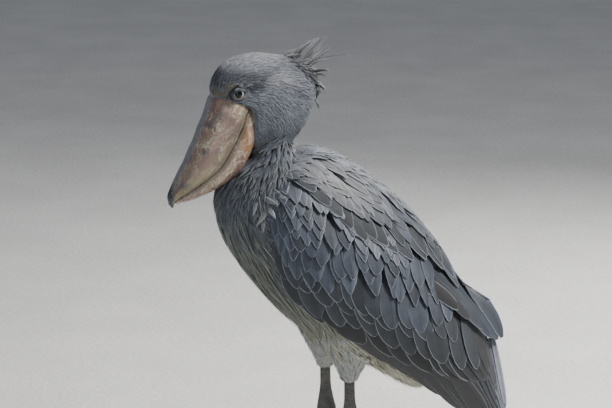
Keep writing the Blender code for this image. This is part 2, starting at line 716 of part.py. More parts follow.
def build_head(bird, cutters, beak, eyes):
    """The head with its lids, brows, crest and nape feathers, cut clear of the bill and the eyes."""
    head = turn_head(trunk("head", HEAD_ROWS, 11, 20, "plumage", bird))
    growth = collection("head growth")
    openings = []
    for side in (1, -1):
        lid_radius = EYE_RADIUS + GAP + LID_THICKNESS
        lids = Vector((lid_radius, lid_radius, lid_radius))
        turn_head(ball(f"lids_{side}", on_side(EYE_CENTRE, side), lids, "plumage", growth))
        turn_head(ball(f"brow_{side}", on_side(BROW_CENTRE, side), BROW_RADII, "plumage", growth, 10, 6))
        openings.append(lid_opening(side, cutters))
    for i, (sizes, spread) in enumerate(zip(CREST_VANES, CREST_SPREAD)):
        crest_vane(f"crest_{i}", sizes, spread, growth)
    joined(head, growth)
    for opening in openings:
        cut_out(head, opening)
    cut_clear(head, [*beak, *eyes], cutters)
    return head


def main():
    """Builds every node of the bird."""
    for obj in list(bpy.data.objects):
        bpy.data.objects.remove(obj)
    draw = random.Random(FEATHER_SEED)
    bird = collection("shoebill")
    cutters = collection("cutters")

    bill_upper = bill("bill_upper", True, 12, 12, bird)
    bill_lower = cut_clear(bill("bill_lower", False, 12, 10, bird), [bill_upper], cutters)
    eye_radii = Vector((EYE_RADIUS, EYE_RADIUS, EYE_RADIUS))
    eyes = [
        turn_head(ball("eye_left", EYE_CENTRE, eye_radii, "eye", bird)),
        turn_head(ball("eye_right", on_side(EYE_CENTRE, -1), eye_radii, "eye", bird)),
    ]
    for side in (1, -1):
        nostril = ball(f"nostril_{side}", on_side(NOSTRIL, side), NOSTRIL_RADII, "bill", cutters)
        cut_out(bill_upper, turn_head(nostril))
    cut_clear(bill_upper, eyes, cutters)
    head = build_head(bird, cutters, [bill_upper, bill_lower], eyes)

    torso = trunk("torso", TORSO_ROWS, 12, 24, "plumage", bird)
    cut_clear(torso, [bill_lower], cutters)
    neck = trunk("neck", NECK_ROWS, 4, 16, "plumage", bird)
    cut_clear(neck, [head, torso, bill_lower], cutters)

    wing_left = wing_plate("wing_left", bird)
    wing_vanes = collection("wing vanes")
    for tier in WING_TIERS:
        tier_of_vanes(tier, wing_frame, "wing", wing_vanes, draw)
    joined(wing_left, wing_vanes)
    cut_clear(wing_left, [torso, neck], cutters)

    plumes = collection("plumes")
    for tier in BREAST_TIERS + MANTLE_TIERS:
        tier_of_vanes(tier, torso_frame, "plumage", plumes, draw)
    joined(torso, plumes)
    mirrored(wing_left, "wing_right", bird)

    tail = tail_core(bird)
    rectrices = collection("tail feathers")
    tail_vanes(rectrices, draw)
    joined(tail, rectrices)
    cut_clear(tail, [torso], cutters)

    for side_name, side, foot in (("left", 1, LEFT_LEG), ("right", -1, RIGHT_LEG)):
        leg = flat_on_floor(pillar(f"leg_{side_name}", LEG_ROWS, foot, 15, 10, "leg", bird))
        thigh = pillar(f"thigh_{side_name}", THIGH_ROWS, foot, 7, 14, "thigh", bird)
        cut_clear(thigh, [torso, leg], cutters)
        set_down = [leg]
        for kind in TOES:
            claw_node = claw(f"claw_{side_name}_{kind}", foot, side, kind, bird)
            toe_node = toe(f"toe_{side_name}_{kind}", foot, side, kind, bird)
            cut_clear(toe_node, [*set_down, claw_node], cutters)
            set_down.append(toe_node)


main()
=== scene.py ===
"""A life-size shoebill at rest, dressed as a museum model: one skin, coats of feathers, bill, eyes and legs.

Metres, +Z up. The bird faces -Y and its left side is +X, as in the solids.
"""

import logging
import math
from dataclasses import dataclass, field
from enum import Enum
from typing import Callable, ClassVar

import bmesh
import bpy
import numpy as np
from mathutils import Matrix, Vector
from mathutils.bvhtree import BVHTree


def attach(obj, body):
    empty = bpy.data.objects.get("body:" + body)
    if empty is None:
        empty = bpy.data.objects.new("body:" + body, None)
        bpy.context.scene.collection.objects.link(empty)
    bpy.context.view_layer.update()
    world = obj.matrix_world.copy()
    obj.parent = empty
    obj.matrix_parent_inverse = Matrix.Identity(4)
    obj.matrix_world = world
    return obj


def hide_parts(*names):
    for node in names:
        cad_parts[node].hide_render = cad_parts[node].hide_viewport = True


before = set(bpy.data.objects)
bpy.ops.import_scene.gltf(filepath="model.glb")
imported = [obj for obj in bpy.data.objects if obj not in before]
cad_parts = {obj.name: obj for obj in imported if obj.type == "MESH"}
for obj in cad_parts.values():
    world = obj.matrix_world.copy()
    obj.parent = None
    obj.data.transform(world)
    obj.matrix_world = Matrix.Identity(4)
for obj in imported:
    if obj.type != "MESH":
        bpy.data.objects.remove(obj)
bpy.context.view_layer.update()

log = logging.getLogger("shoebill")

Array = np.ndarray
Piece = bpy.types.Object
Material = bpy.types.Material
Colour = tuple[float, float, float]
Span = tuple[float, float]

NIGHT = (0.015, 0.016, 0.019)
DEEP_SLATE = (0.027, 0.032, 0.039)
SLATE = (0.046, 0.055, 0.075)
NECK_BLUE = (0.055, 0.064, 0.088)
ASH = (0.125, 0.138, 0.165)
WARM_GREY = (0.205, 0.205, 0.212)
OLIVE_GREY = (0.200, 0.202, 0.150)
CREAM = (0.52, 0.50, 0.40)

BACK_LOOK = {"rim": 0.5, "rim_width": 0.0014, "streaks": 1.3, "edge_lift": 0.3, "shaft": 0.3}
AXIS_X, AXIS_Y, AXIS_Z = np.eye(3)

HEAD_TURN = math.radians(4.0)
NECK_AXIS = Vector((0.0, -0.10, 0.0))

# Each row of a trunk is a slice through the body: front point (y, z), back point (y, z), half width.
TORSO_ROWS = (
    (-0.243, 0.692, -0.052, 0.784, 0.090), (-0.234, 0.650, -0.012, 0.768, 0.102),
    (-0.213, 0.608, 0.030, 0.742, 0.114), (-0.171, 0.546, 0.092, 0.686, 0.124),
    (-0.118, 0.484, 0.143, 0.622, 0.122), (-0.053, 0.430, 0.178, 0.556, 0.108),
    (0.019, 0.391, 0.204, 0.494, 0.086), (0.085, 0.352, 0.224, 0.436, 0.062),
    (0.140, 0.322, 0.240, 0.388, 0.042),
)
NECK_ROWS = (
    (-0.150, 0.822, -0.078, 0.858, 0.044), (-0.180, 0.786, -0.078, 0.824, 0.056),
    (-0.216, 0.750, -0.076, 0.804, 0.070), (-0.238, 0.718, -0.066, 0.794, 0.082),
    (-0.238, 0.690, -0.050, 0.776, 0.086),
)
HEAD_ROWS = (
    (-0.163, 0.789, -0.250, 0.894, 0.046), (-0.146, 0.785, -0.246, 0.930, 0.054),
    (-0.127, 0.788, -0.221, 0.963, 0.061), (-0.108, 0.794, -0.175, 0.979, 0.066),
    (-0.091, 0.804, -0.124, 0.976, 0.065), (-0.078, 0.818, -0.082, 0.966, 0.058),
    (-0.064, 0.842, -0.057, 0.945, 0.043), (-0.053, 0.876, -0.045, 0.918, 0.020),
)
# Each row of the bill: ridge (y, z), mouth line (y, z), keel of the lower bill (y, z), half width.
BILL_ROWS = (
    (-0.240, 0.912, -0.177, 0.888, -0.158, 0.830, 0.0500),
    (-0.253, 0.896, -0.187, 0.869, -0.166, 0.803, 0.0590),
    (-0.262, 0.869, -0.197, 0.842, -0.174, 0.786, 0.0605),
    (-0.276, 0.834, -0.213, 0.809, -0.190, 0.758, 0.0590),
    (-0.291, 0.797, -0.235, 0.772, -0.211, 0.740, 0.0560),
    (-0.306, 0.764, -0.266, 0.744, -0.240, 0.723, 0.0510),
    (-0.319, 0.736, -0.296, 0.722, -0.272, 0.707, 0.0410),
    (-0.328, 0.712, -0.312, 0.709, -0.299, 0.699, 0.0270),
    (-0.328, 0.694, -0.3165, 0.6990, -0.311, 0.695, 0.0120),
)
HOOK_TIP = (-0.319, 0.685)
# Each row of the folded wing: upper edge, bulge and lower edge, as (x, y, z) each.
WING_ROWS = (
    (0.050, -0.114, 0.772, 0.110, -0.140, 0.736, 0.078, -0.158, 0.683),
    (0.055, -0.059, 0.787, 0.168, -0.110, 0.700, 0.098, -0.140, 0.595),
    (0.060, 0.007, 0.761, 0.192, -0.058, 0.650, 0.108, -0.103, 0.526),
    (0.060, 0.080, 0.710, 0.204, 0.012, 0.594, 0.112, -0.040, 0.472),
    (0.055, 0.143, 0.651, 0.200, 0.080, 0.536, 0.110, 0.027, 0.431),
    (0.045, 0.200, 0.577, 0.180, 0.146, 0.474, 0.100, 0.095, 0.386),
    (0.038, 0.244, 0.498, 0.148, 0.202, 0.412, 0.086, 0.159, 0.343),
    (0.036, 0.283, 0.420, 0.112, 0.254, 0.352, 0.072, 0.222, 0.297),
    (0.036, 0.308, 0.336, 0.076, 0.294, 0.292, 0.058, 0.277, 0.259),
    (0.035, 0.325, 0.262, 0.050, 0.320, 0.250, 0.046, 0.312, 0.236),
)
# Each row of a thigh or a leg: height, set-back, half width and half depth.
THIGH_ROWS = (
    (0.500, -0.012, 0.045, 0.056), (0.455, -0.002, 0.043, 0.054), (0.425, 0.003, 0.039, 0.048),
    (0.395, 0.006, 0.032, 0.035), (0.368, 0.005, 0.019, 0.020), (0.356, 0.004, 0.015, 0.016),
)
LEG_ROWS = (
    (0.385, 0.004, 0.0098, 0.0108), (0.320, 0.005, 0.0095, 0.0105), (0.288, 0.006, 0.0125, 0.0150),
    (0.265, 0.007, 0.0155, 0.0190), (0.244, 0.006, 0.0130, 0.0160), (0.215, 0.004, 0.0088, 0.0108),
    (0.120, 0.001, 0.0082, 0.0100), (0.060, 0.000, 0.0090, 0.0110), (0.036, 0.000, 0.0130, 0.0150),
    (0.020, -0.003, 0.0185, 0.0205), (0.000, -0.003, 0.0180, 0.0200),
)
# The crest and nape: root (y, z), middle (y, z), tip (y, z), half width, spread to the side.
CREST_ROWS = (
    (-0.092, 0.968, -0.074, 0.985, -0.054, 1.000, 0.0050, 0.000),
    (-0.086, 0.964, -0.066, 0.986, -0.047, 1.0035, 0.0055, 0.006),
    (-0.080, 0.962, -0.060, 0.985, -0.039, 1.005, 0.0060, -0.006),
    (-0.075, 0.958, -0.052, 0.981, -0.031, 1.0045, 0.0060, 0.003),
    (-0.070, 0.954, -0.046, 0.976, -0.024, 1.0035, 0.0055, -0.007),
    (-0.067, 0.950, -0.044, 0.970, -0.022, 0.989, 0.0055, 0.007),
    (-0.076, 0.955, -0.0115, 0.969, 0.0215, 0.9675, 0.0030, 0.001),
    (-0.066, 0.944, -0.044, 0.956, -0.020, 0.962, 0.0070, -0.004),
    (-0.063, 0.936, -0.042, 0.944, -0.024, 0.944, 0.0080, 0.009),
    (-0.060, 0.926, -0.040, 0.931, -0.025, 0.926, 0.0085, -0.010),
    (-0.058, 0.915, -0.041, 0.916, -0.031, 0.907, 0.0085, 0.010),
    (-0.057, 0.903, -0.044, 0.901, -0.037, 0.889, 0.0085, -0.009),
    (-0.058, 0.890, -0.049, 0.886, -0.043, 0.870, 0.0085, 0.008),
)
LONG_CREST = 6
BILL_REACH = -0.30
# Where the face's feathers begin in the side view, as (z, y): the horn lies in front of this line.
FEATHER_LINE = (
    (0.760, -0.200), (0.780, -0.183), (0.793, -0.1765), (0.813, -0.1715), (0.838, -0.168), (0.862, -0.169),
    (0.880, -0.174), (0.886, -0.182), (0.892, -0.207), (0.898, -0.238), (0.908, -0.2500), (0.925, -0.290),
)
# Each row of the back between the wings: its middle (y, z), then the edge (x, y, z) beside the wing.
BACK_ROWS = (
    (-0.085, 0.806, 0.046, -0.105, 0.772), (-0.040, 0.797, 0.052, -0.052, 0.783),
    (0.018, 0.770, 0.057, 0.012, 0.757), (0.088, 0.716, 0.057, 0.084, 0.705),
    (0.148, 0.657, 0.052, 0.146, 0.646), (0.200, 0.585, 0.042, 0.200, 0.573),
    (0.238, 0.505, 0.035, 0.240, 0.496), (0.262, 0.430, 0.030, 0.266, 0.424),
    (0.286, 0.352, 0.026, 0.289, 0.347),
)


def spline(rows: Array, t: Array) -> Array:
    """Reads rows of sizes smoothly at any station.

    Args:
        rows: the rows, one below the other.
        t: stations, from 0 at the first row to the last row's number.

    Returns:
        The sizes at each station, along the last axis.
    """
    rows = np.asarray(rows, float)
    last = len(rows) - 1
    t = np.clip(np.asarray(t, float), 0.0, last)
    i = np.minimum(t.astype(int), last - 1)
    f = (t - i)[..., None]
    a, b, c, d = rows[np.maximum(i - 1, 0)], rows[i], rows[i + 1], rows[np.minimum(i + 2, last)]
    return 0.5 * (2 * b + (c - a) * f + (2 * a - 5 * b + 4 * c - d) * f**2 + (3 * b - a - 3 * c + d) * f**3)


def unit(vectors: Array) -> Array:
    """The vectors at length one."""
    return vectors / np.maximum(np.linalg.norm(vectors, axis=-1, keepdims=True), 1e-12)


def course(line: Array) -> Array:
    """Which way a line runs at each of its points, as unit vectors."""
    return unit(np.gradient(line, axis=-2))


def squared(vectors: Array, line: Array) -> Array:
    """Unit vectors made square to the course of a line."""
    slope = course(line)
    return unit(vectors - slope * (vectors * slope).sum(-1, keepdims=True))


def turned(points: Array, vectors: bool = False, back: bool = False) -> Array:
    """Turns the head's points about the neck.

    Args:
        points: the points or vectors.
        vectors: whether they are vectors, which the turn doesn't shift.
        back: whether they are turned back instead.

    Returns:
        The same, turned.
    """
    axis = np.zeros(3) if vectors else np.array(NECK_AXIS)
    angle = -HEAD_TURN if back else HEAD_TURN
    c, s = math.cos(angle), math.sin(angle)
    matrix = np.array(((c, -s, 0.0), (s, c, 0.0), (0.0, 0.0, 1.0)))
    return (points - axis) @ matrix.T + axis


def mixed(a: Array, b: Array, share: Array) -> Array:
    """Blends two colours, or arrays of them, by a share for each."""
    share = np.asarray(share, float)[..., None]
    return np.asarray(a, float) * (1 - share) + np.asarray(b, float) * share


def bump(x: Array, centre: float, width: float) -> Array:
    """A smooth hill of height one."""
    return np.exp(-(((x - centre) / width) ** 2))


@dataclass(frozen=True)
class Surface:
    """A surface read by two numbers, the first along it and the second round or down it."""

    rows: tuple
    head: bool = False
    small: ClassVar[float] = 1.0

    def point(self, s: Array, a: Array) -> Array:
        """Places on the surface.

        Args:
            s: stations, from 0 at the first row.
            a: angles in degrees, 0 at the left side and 90 at the back.

        Returns:
            The points.
        """
        front_y, front_z, back_y, back_z, half = np.moveaxis(spline(self.rows, s), -1, 0)
        turn = np.radians(a)
        return np.stack((
            half * np.cos(turn),
            (front_y + back_y) / 2 + (back_y - front_y) / 2 * np.sin(turn),
            (front_z + back_z) / 2 + (back_z - front_z) / 2 * np.sin(turn),
        ), -1)

    def outward(self, s: Array, a: Array) -> Array:
        """A rough direction away from the middle."""
        return self.point(s, a) - self.point(s, np.asarray(a) + 180.0)

    def frame(self, s: Array, a: Array) -> tuple[Array, ...]:
        """The point, the unit normal outwards and the two tangents.

        Args:
            s: stations along the surface.
            a: the second coordinate of each point.

        Returns:
            Points, normals, tangents along it and tangents across it.
        """
        s, a = np.asarray(s, float), np.asarray(a, float)
        step = 0.01
        run = (self.point(s + step, a) - self.point(s - step, a)) / (2 * step)
        fall = (self.point(s, a + self.small) - self.point(s, a - self.small)) / (2 * self.small)
        normal = unit(np.cross(run, fall))
        normal *= np.where((normal * self.outward(s, a)).sum(-1, keepdims=True) < 0, -1.0, 1.0)
        point = self.point(s, a)
        if self.head:
            return turned(point), turned(normal, True), turned(run, True), turned(fall, True)
        return point, normal, run, fall


@dataclass(frozen=True)
class Pillar(Surface):
    """An upright form on a leg's place."""

    foot: tuple = (0.0, 0.0)

    def point(self, s: Array, a: Array) -> Array:
        """Places on the surface.

        Args:
            s: stations, from 0 at the top row.
            a: angles in degrees, 0 at the left side and 90 at the back.

        Returns:
            The points.
        """
        z, back, wide, deep = np.moveaxis(spline(self.rows, s), -1, 0)
        turn = np.radians(a)
        x, y = self.foot[0] + wide * np.cos(turn), self.foot[1] + back + deep * np.sin(turn)
        return np.stack((x, y, z + 0 * turn), -1)


@dataclass(frozen=True)
class BackSurface(Surface):
    """The arch of the back between the wings, its second number from -90 at the right to 90 at the left."""

    def point(self, s: Array, a: Array) -> Array:
        """Places on the surface.

        Args:
            s: stations, from 0 at the neck.
            a: places across it, -90 to 90 from edge to edge.

        Returns:
            The points.
        """
        middle_y, middle_z, edge_x, edge_y, edge_z = np.moveaxis(spline(self.rows, s), -1, 0)
        share = np.clip(np.asarray(a, float) / 90.0, -1.2, 1.2)
        bend = share**2
        y, z = middle_y + (edge_y - middle_y) * bend, middle_z + (edge_z - middle_z) * bend
        return np.stack((edge_x * share, y, z), -1)

    def outward(self, s: Array, a: Array) -> Array:
        """Up and backwards."""
        return np.broadcast_to(np.array((0.0, 0.6, 0.8)), (*np.shape(s), 3))


@dataclass(frozen=True)
class WingSurface(Surface):
    """The outer surface of a folded wing: u from shoulder to tip, v from upper to lower edge."""

    side: float = 1.0
    bend: float = 10.0
    lean: float = 0.45
    bend_end: float = 6.3
    small: ClassVar[float] = 0.01

    def point(self, s: Array, a: Array) -> Array:
        """Places on the wing, which bends over the back where v is under 0.

        Args:
            s: u of each place.
            a: v of each place.

        Returns:
            The points.
        """
        sizes = spline(self.rows, s)
        v = np.asarray(a, float)[..., None]
        upper, bulge, lower = sizes[..., 0:3], sizes[..., 3:6], sizes[..., 6:9]
        found = upper * (1 - v) ** 2 + bulge * (2 * v * (1 - v)) + lower * v**2
        fall = 2 * (bulge - upper)
        flat = np.clip(self.bend_end - np.asarray(s, float), 0.0, 1.0)[..., None]
        dip = self.bend * fall * np.array((0.0, 1.0, 1.0)) * flat - upper + 2 * bulge - lower
        lean = self.lean * fall * np.array((1.0, 0.0, 0.0)) * (1 - flat)
        found = found + np.where(v < 0, dip * v**2 - lean * v, 0.0)
        return found * np.array((self.side, 1.0, 1.0))

    def outward(self, s: Array, a: Array) -> Array:
        """Away from the body's middle plane, and upwards where the wing bends over the back.

        Args:
            s: u of each place.
            a: v of each place.

        Returns:
            A rough direction for each place.
        """
        over = (np.asarray(a, float) < -0.02) & (np.asarray(s, float) < 6.0)
        upwards, sideways = np.array((0.2 * self.side, 0.55, 0.80)), np.array((self.side, 0.0, 0.0))
        return np.where(over[..., None], upwards, sideways)


TORSO = Surface(TORSO_ROWS)
NECK = Surface(NECK_ROWS)
HEAD = Surface(HEAD_ROWS, head=True)
BACK = BackSurface(BACK_ROWS)
FEET = {"left": (1.0, (0.055, 0.008)), "right": (-1.0, (-0.055, -0.026))}
THIGHS = {name: Pillar(THIGH_ROWS, foot=foot) for name, (_, foot) in FEET.items()}
WINGS = {"left": WingSurface(WING_ROWS, side=1.0), "right": WingSurface(WING_ROWS, side=-1.0)}


# Meshes


def put_attribute(mesh: bpy.types.Mesh, name: str, values: Array) -> None:
    """Stores a value, a vector or a colour for each of a mesh's points.

    Args:
        mesh: the mesh that gets it.
        name: the attribute's name.
        values: one row for each vertex, with one, three or four numbers.
    """
    values = np.asarray(values, np.float32)
    kinds = {1: ("FLOAT", "value"), 3: ("FLOAT_VECTOR", "vector"), 4: ("FLOAT_COLOR", "color")}
    kind, key = kinds[values.shape[1] if values.ndim == 2 else 1]
    mesh.attributes.new(name, kind, "POINT").data.foreach_set(key, values.ravel())


def new_object(name: str, mesh: bpy.types.Mesh) -> Piece:
    """Links a mesh into the scene as an object at the origin.

    Args:
        name: the object's name.
        mesh: its mesh.

    Returns:
        The object.
    """
    made = bpy.data.objects.new(name, mesh)
    bpy.context.scene.collection.objects.link(made)
    return made


def places(obj: Piece) -> Array:
    """The places of a piece's vertices."""
    return np.array([v.co for v in obj.data.vertices])


def move_to(obj: Piece, points: Array) -> None:
    """Moves a piece's vertices to new places."""
    obj.data.vertices.foreach_set("co", points.astype(np.float32).ravel())
    obj.data.update()


def solid(name: str, points: Array, faces: list) -> Piece:
    """Makes a smooth mesh object from points and faces, its faces pointing outwards.

    Args:
        name: the object's name.
        points: the vertices.
        faces: the vertex numbers of each face.

    Returns:
        The object.
    """
    mesh = bpy.data.meshes.new(name)
    mesh.from_pydata([tuple(p) for p in points], [], faces)
    mesh.polygons.foreach_set("use_smooth", np.full(len(mesh.polygons), True))
    mesh.update()
    bm = bmesh.new()
    bm.from_mesh(mesh)
    if bm.calc_volume(signed=True) < 0:
        bmesh.ops.reverse_faces(bm, faces=bm.faces)
    bm.to_mesh(mesh)
    bm.free()
    return new_object(name, mesh)


def loft_faces(count: int, sides: int) -> list:
    """The faces of a closed form through rings, whose two end hubs are its last two vertices.

    Args:
        count: how many rings there are.
        sides: how many points each has.

    Returns:
        The vertex numbers of each face.
    """
    faces = []
    for i in range(count - 1):
        low, high = i * sides, (i + 1) * sides
        for j in range(sides):
            k = (j + 1) % sides
            faces.append((low + j, low + k, high + k, high + j))
    first, last = count * sides, count * sides + 1
    top = (count - 1) * sides
    for j in range(sides):
        k = (j + 1) % sides
        faces.append((k, j, first))
        faces.append((top + j, top + k, last))
    return faces


def loft(name: str, rings: Array) -> Piece:
    """A closed form through rings of points.

    Args:
        name: the object's name.
        rings: the points, of shape rings by sides by three.

    Returns:
        The object.
    """
    count, sides, _ = rings.shape
    points = np.concatenate((rings.reshape(-1, 3), rings[:1].mean(1), rings[-1:].mean(1)))
    return solid(name, points, loft_faces(count, sides))


def baked(obj: Piece) -> Piece:
    """Replaces an object's mesh by its evaluated one and takes its modifiers off.

    Args:
        obj: the object.

    Returns:
        The same object.
    """
    graph = bpy.context.evaluated_depsgraph_get()
    shown = obj.evaluated_get(graph)
    mesh = bpy.data.meshes.new_from_object(shown, preserve_all_data_layers=True, depsgraph=graph)
    obj.modifiers.clear()
    obj.data = mesh
    return obj


def finished(obj: Piece, finish: Material, slot: str, *nodes: str) -> Piece:
    """Gives a piece its material and its body, and hides the nodes it stands for.

    Args:
        obj: the piece.
        finish: its material.
        slot: not used.
        nodes: the solids that it replaces.

    Returns:
        The piece.
    """
    obj.data.materials.clear()
    obj.data.materials.append(finish)
    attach(obj, "root")
    if nodes:
        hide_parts(*nodes)
    triangles = sum(len(face.vertices) - 2 for face in obj.data.polygons)
    log.info("%s: %d triangles", obj.name, triangles)
    return obj


# Materials


class Value:
    """An output of a node that can be reckoned with like a number."""

    def __init__(self, bench: "Bench", socket: bpy.types.NodeSocket) -> None:
        """Notes the output and the bench that its node stands on."""
        self.bench, self.socket = bench, socket

    def __add__(self, other: object) -> "Value":
        """This and the other."""
        return self.bench.math("ADD", self, other)

    def __sub__(self, other: object) -> "Value":
        """This less the other."""
        return self.bench.math("SUBTRACT", self, other)

    def __rsub__(self, other: object) -> "Value":
        """The other less this."""
        return self.bench.math("SUBTRACT", other, self)

    def __mul__(self, other: object) -> "Value":
        """This times the other."""
        return self.bench.math("MULTIPLY", self, other)

    def __truediv__(self, other: object) -> "Value":
        """This over the other."""
        return self.bench.math("DIVIDE", self, other)

    def __abs__(self) -> "Value":
        """This without its sign."""
        return self.bench.math("ABSOLUTE", self)

    def clamped(self) -> "Value":
        """This, held between 0 and 1 by the node that makes it."""
        self.socket.node.use_clamp = True
        return self

    def reach(self, low: float, high: float) -> "Value":
        """A smooth rise from 0 where this is low to 1 where it is high."""
        feeds = {"Value": self, "From Min": low, "From Max": high}
        return self.bench.step("ShaderNodeMapRange", feeds, "Result", interpolation_type="SMOOTHSTEP")

    def hill(self, centre: float, width: float) -> "Value":
        """A smooth hill of height one over a centre."""
        up = self.reach(centre - width, centre - 0.2 * width)
        return up * (1.0 - self.reach(centre + 0.2 * width, centre + width))


class Bench:
    """Adds and joins the nodes of one tree."""

    def __init__(self, tree: bpy.types.NodeTree) -> None:
        """Starts on a tree."""
        self.tree = tree

    def node(self, kind: str, **settings: object) -> bpy.types.Node:
        """Adds a node.

        Args:
            kind: Blender's name of the node.
            settings: its own settings.

        Returns:
            The node.
        """
        made = self.tree.nodes.new(kind)
        for key, value in settings.items():
            setattr(made, key, value)
        return made

    def feed(self, socket: bpy.types.NodeSocket, value: object) -> None:
        """Links an output into a socket, or sets it to a plain value.

        Args:
            socket: the input.
            value: an output, a number, a colour or another plain value.
        """
        if isinstance(value, Value):
            self.tree.links.new(value.socket, socket)
        elif isinstance(value, tuple) and socket.type == "RGBA":
            socket.default_value = (*value, 1.0)
        else:
            socket.default_value = value

    def step(self, kind: str, feeds: dict, output: object = 0, **settings: object) -> Value:
        """Adds a node, feeds it and gives one of its outputs.

        Args:
            kind: Blender's name of the node.
            feeds: the value of each input, by its name or number.
            output: the name or number of the output.
            settings: the node's own settings.

        Returns:
            The output.
        """
        made = self.node(kind, **settings)
        for key, value in feeds.items():
            self.feed(made.inputs[key], value)
        return Value(self, made.outputs[output])

    def math(self, operation: str, a: object, b: object = 0.0) -> Value:
        """One sum of two values."""
        return self.step("ShaderNodeMath", {0: a, 1: b}, operation=operation)

    def mix(self, share: object, a: object, b: object, blend: str = "MIX") -> Value:
        """Lays one colour over another.

        Args:
            share: how much of the upper colour shows.
            a: the lower colour.
            b: the upper colour.
            blend: Blender's name of the way they blend.

        Returns:
            The blend.
        """
        made = self.node("ShaderNodeMix", data_type="RGBA", blend_type=blend)
        for key, value in (("Factor", share), ("A", a), ("B", b)):
            self.feed(made.inputs[key], value)
        return Value(self, next(socket for socket in made.outputs if socket.type == "RGBA"))

    def layers(self, colour: object, *layers: tuple) -> Value:
        """Lays (share, colour) layers over a colour.

        Args:
            colour: the lowest colour.
            layers: each layer from the lowest up.

        Returns:
            The blend.
        """
        for share, upper in layers:
            colour = self.mix(share, colour, upper)
        return colour

    def noise(self, place: object, scale: object, detail: float = 4.0, roughness: float = 0.55) -> Value:
        """Soft noise over a place."""
        feeds = {"Vector": place, "Scale": scale, "Detail": detail, "Roughness": roughness}
        return self.step("ShaderNodeTexNoise", feeds, "Fac")

    def attribute(self, name: str, output: str = "Fac") -> Value:
        """A value, or a colour, that the piece carries."""
        return self.step("ShaderNodeAttribute", {}, output, attribute_name=name)

    def place(self) -> Value:
        """Object coordinates."""
        return self.step("ShaderNodeTexCoord", {}, "Object")

    def vector(self, x: object, y: object, z: object) -> Value:
        """A vector from its three numbers."""
        return self.step("ShaderNodeCombineXYZ", {"X": x, "Y": y, "Z": z})

    def grey(self, shade: Value) -> Value:
        """A grey of a shade."""
        return self.step("ShaderNodeCombineColor", dict.fromkeys(range(3), shade))


def new_group(name: str, inputs: dict, outputs: dict, kind: str = "Shader") -> tuple:
    """Starts a group of nodes with named sockets.

    Args:
        name: the group's name.
        inputs: each input's name and its default, a number or a colour, or else the name of its kind.
        outputs: each output's name and its kind.
        kind: Shader or Geometry.

    Returns:
        The group, a bench on it, its inputs' values by name and its outputs' sockets by name.
    """
    tree = bpy.data.node_groups.new(name, f"{kind}NodeTree")
    for key, value in inputs.items():
        sort = value if isinstance(value, str) else "Color" if isinstance(value, tuple) else "Float"
        socket = tree.interface.new_socket(key, in_out="INPUT", socket_type=f"NodeSocket{sort}")
        if sort != value:
            socket.default_value = (*value, 1.0) if sort == "Color" else value
    for key, sort in outputs.items():
        tree.interface.new_socket(key, in_out="OUTPUT", socket_type=f"NodeSocket{sort}")
    bench = Bench(tree)
    given, wanted = bench.node("NodeGroupInput"), bench.node("NodeGroupOutput")
    values = {key: Value(bench, given.outputs[key]) for key in inputs}
    return tree, bench, values, {key: wanted.inputs[key] for key in outputs}


def barb_group() -> bpy.types.NodeTree:
    """A feather's barbs, shaft, pale rim and painted root shade, from its own coordinates in metres.

    Returns:
        The group.
    """
    tree, b, given, wanted = new_group(
        "feather barbs",
        {
            "Tint": (0.1, 0.12, 0.15), "Rim Colour": (0.4, 0.42, 0.45),
            "Across": 0.0, "Along": 0.0, "Wide": 0.01,
            "Reach": 0.05, "Rim": 0.5, "Rim Width": 0.0013, "Rim Start": 0.4, "Barbs": 0.2, "Pitch": 0.002,
            "Shaft": 0.3, "Edge Lift": 0.5, "Streaks": 0.6,
        },
        {"Colour": "Color", "Height": "Float"},
    )
    across, along, wide, reach = (given[key] for key in ("Across", "Along", "Wide", "Reach"))
    place, out, down = b.place(), abs(across), along * reach
    side = out * wide
    line = down - side * 1.3 + b.noise(place, 160.0, 3.0) * 0.0045
    wave = b.math("SINE", line * (2 * math.pi) / given["Pitch"]) * 0.5 + 0.5
    nearest = b.math("MINIMUM", wide - side, (1.0 - along) * reach)
    near = (1.6 - nearest / given["Rim Width"] * 1.6).clamped()
    started = ((along - given["Rim Start"]) / 0.22).clamped()
    own = b.noise(b.vector(0.0, 0.0, reach * 5300.0), 1.0, 1.0).reach(0.32, 0.62) + 0.35
    ragged = (b.noise(place, 260.0, 3.0) * 1.1 + 0.35) * own
    rim = (near * started * (ragged * given["Rim"])).clamped()
    lane = b.vector(across * wide * 420.0, down * 22.0, reach * 900.0)
    streak = (b.noise(lane, 1.0, 3.0) - 0.5) * given["Streaks"] + 1.0
    patches = (b.noise(place, 55.0, 5.0) * 0.7 + 0.65) * streak
    stripe = (wave - 0.5) * given["Barbs"] + 1.0
    # painted shade: each feather darkens towards its root, as if shadowed by the feathers that overlap it
    root_shade = along.reach(0.05, 0.6) * 0.35 + 0.65
    hollow = out * out * given["Edge Lift"] + 0.80
    shaft = (1.0 - side.reach(0.0002, 0.0009)) * given["Shaft"]
    vane = b.mix(1.0, given["Tint"], b.grey(patches * stripe * root_shade * hollow), "MULTIPLY")
    b.feed(wanted["Colour"], b.layers(vane, (shaft, (0.016, 0.016, 0.020)), (rim, given["Rim Colour"])))
    b.feed(wanted["Height"], wave + shaft * 1.2)
    return tree


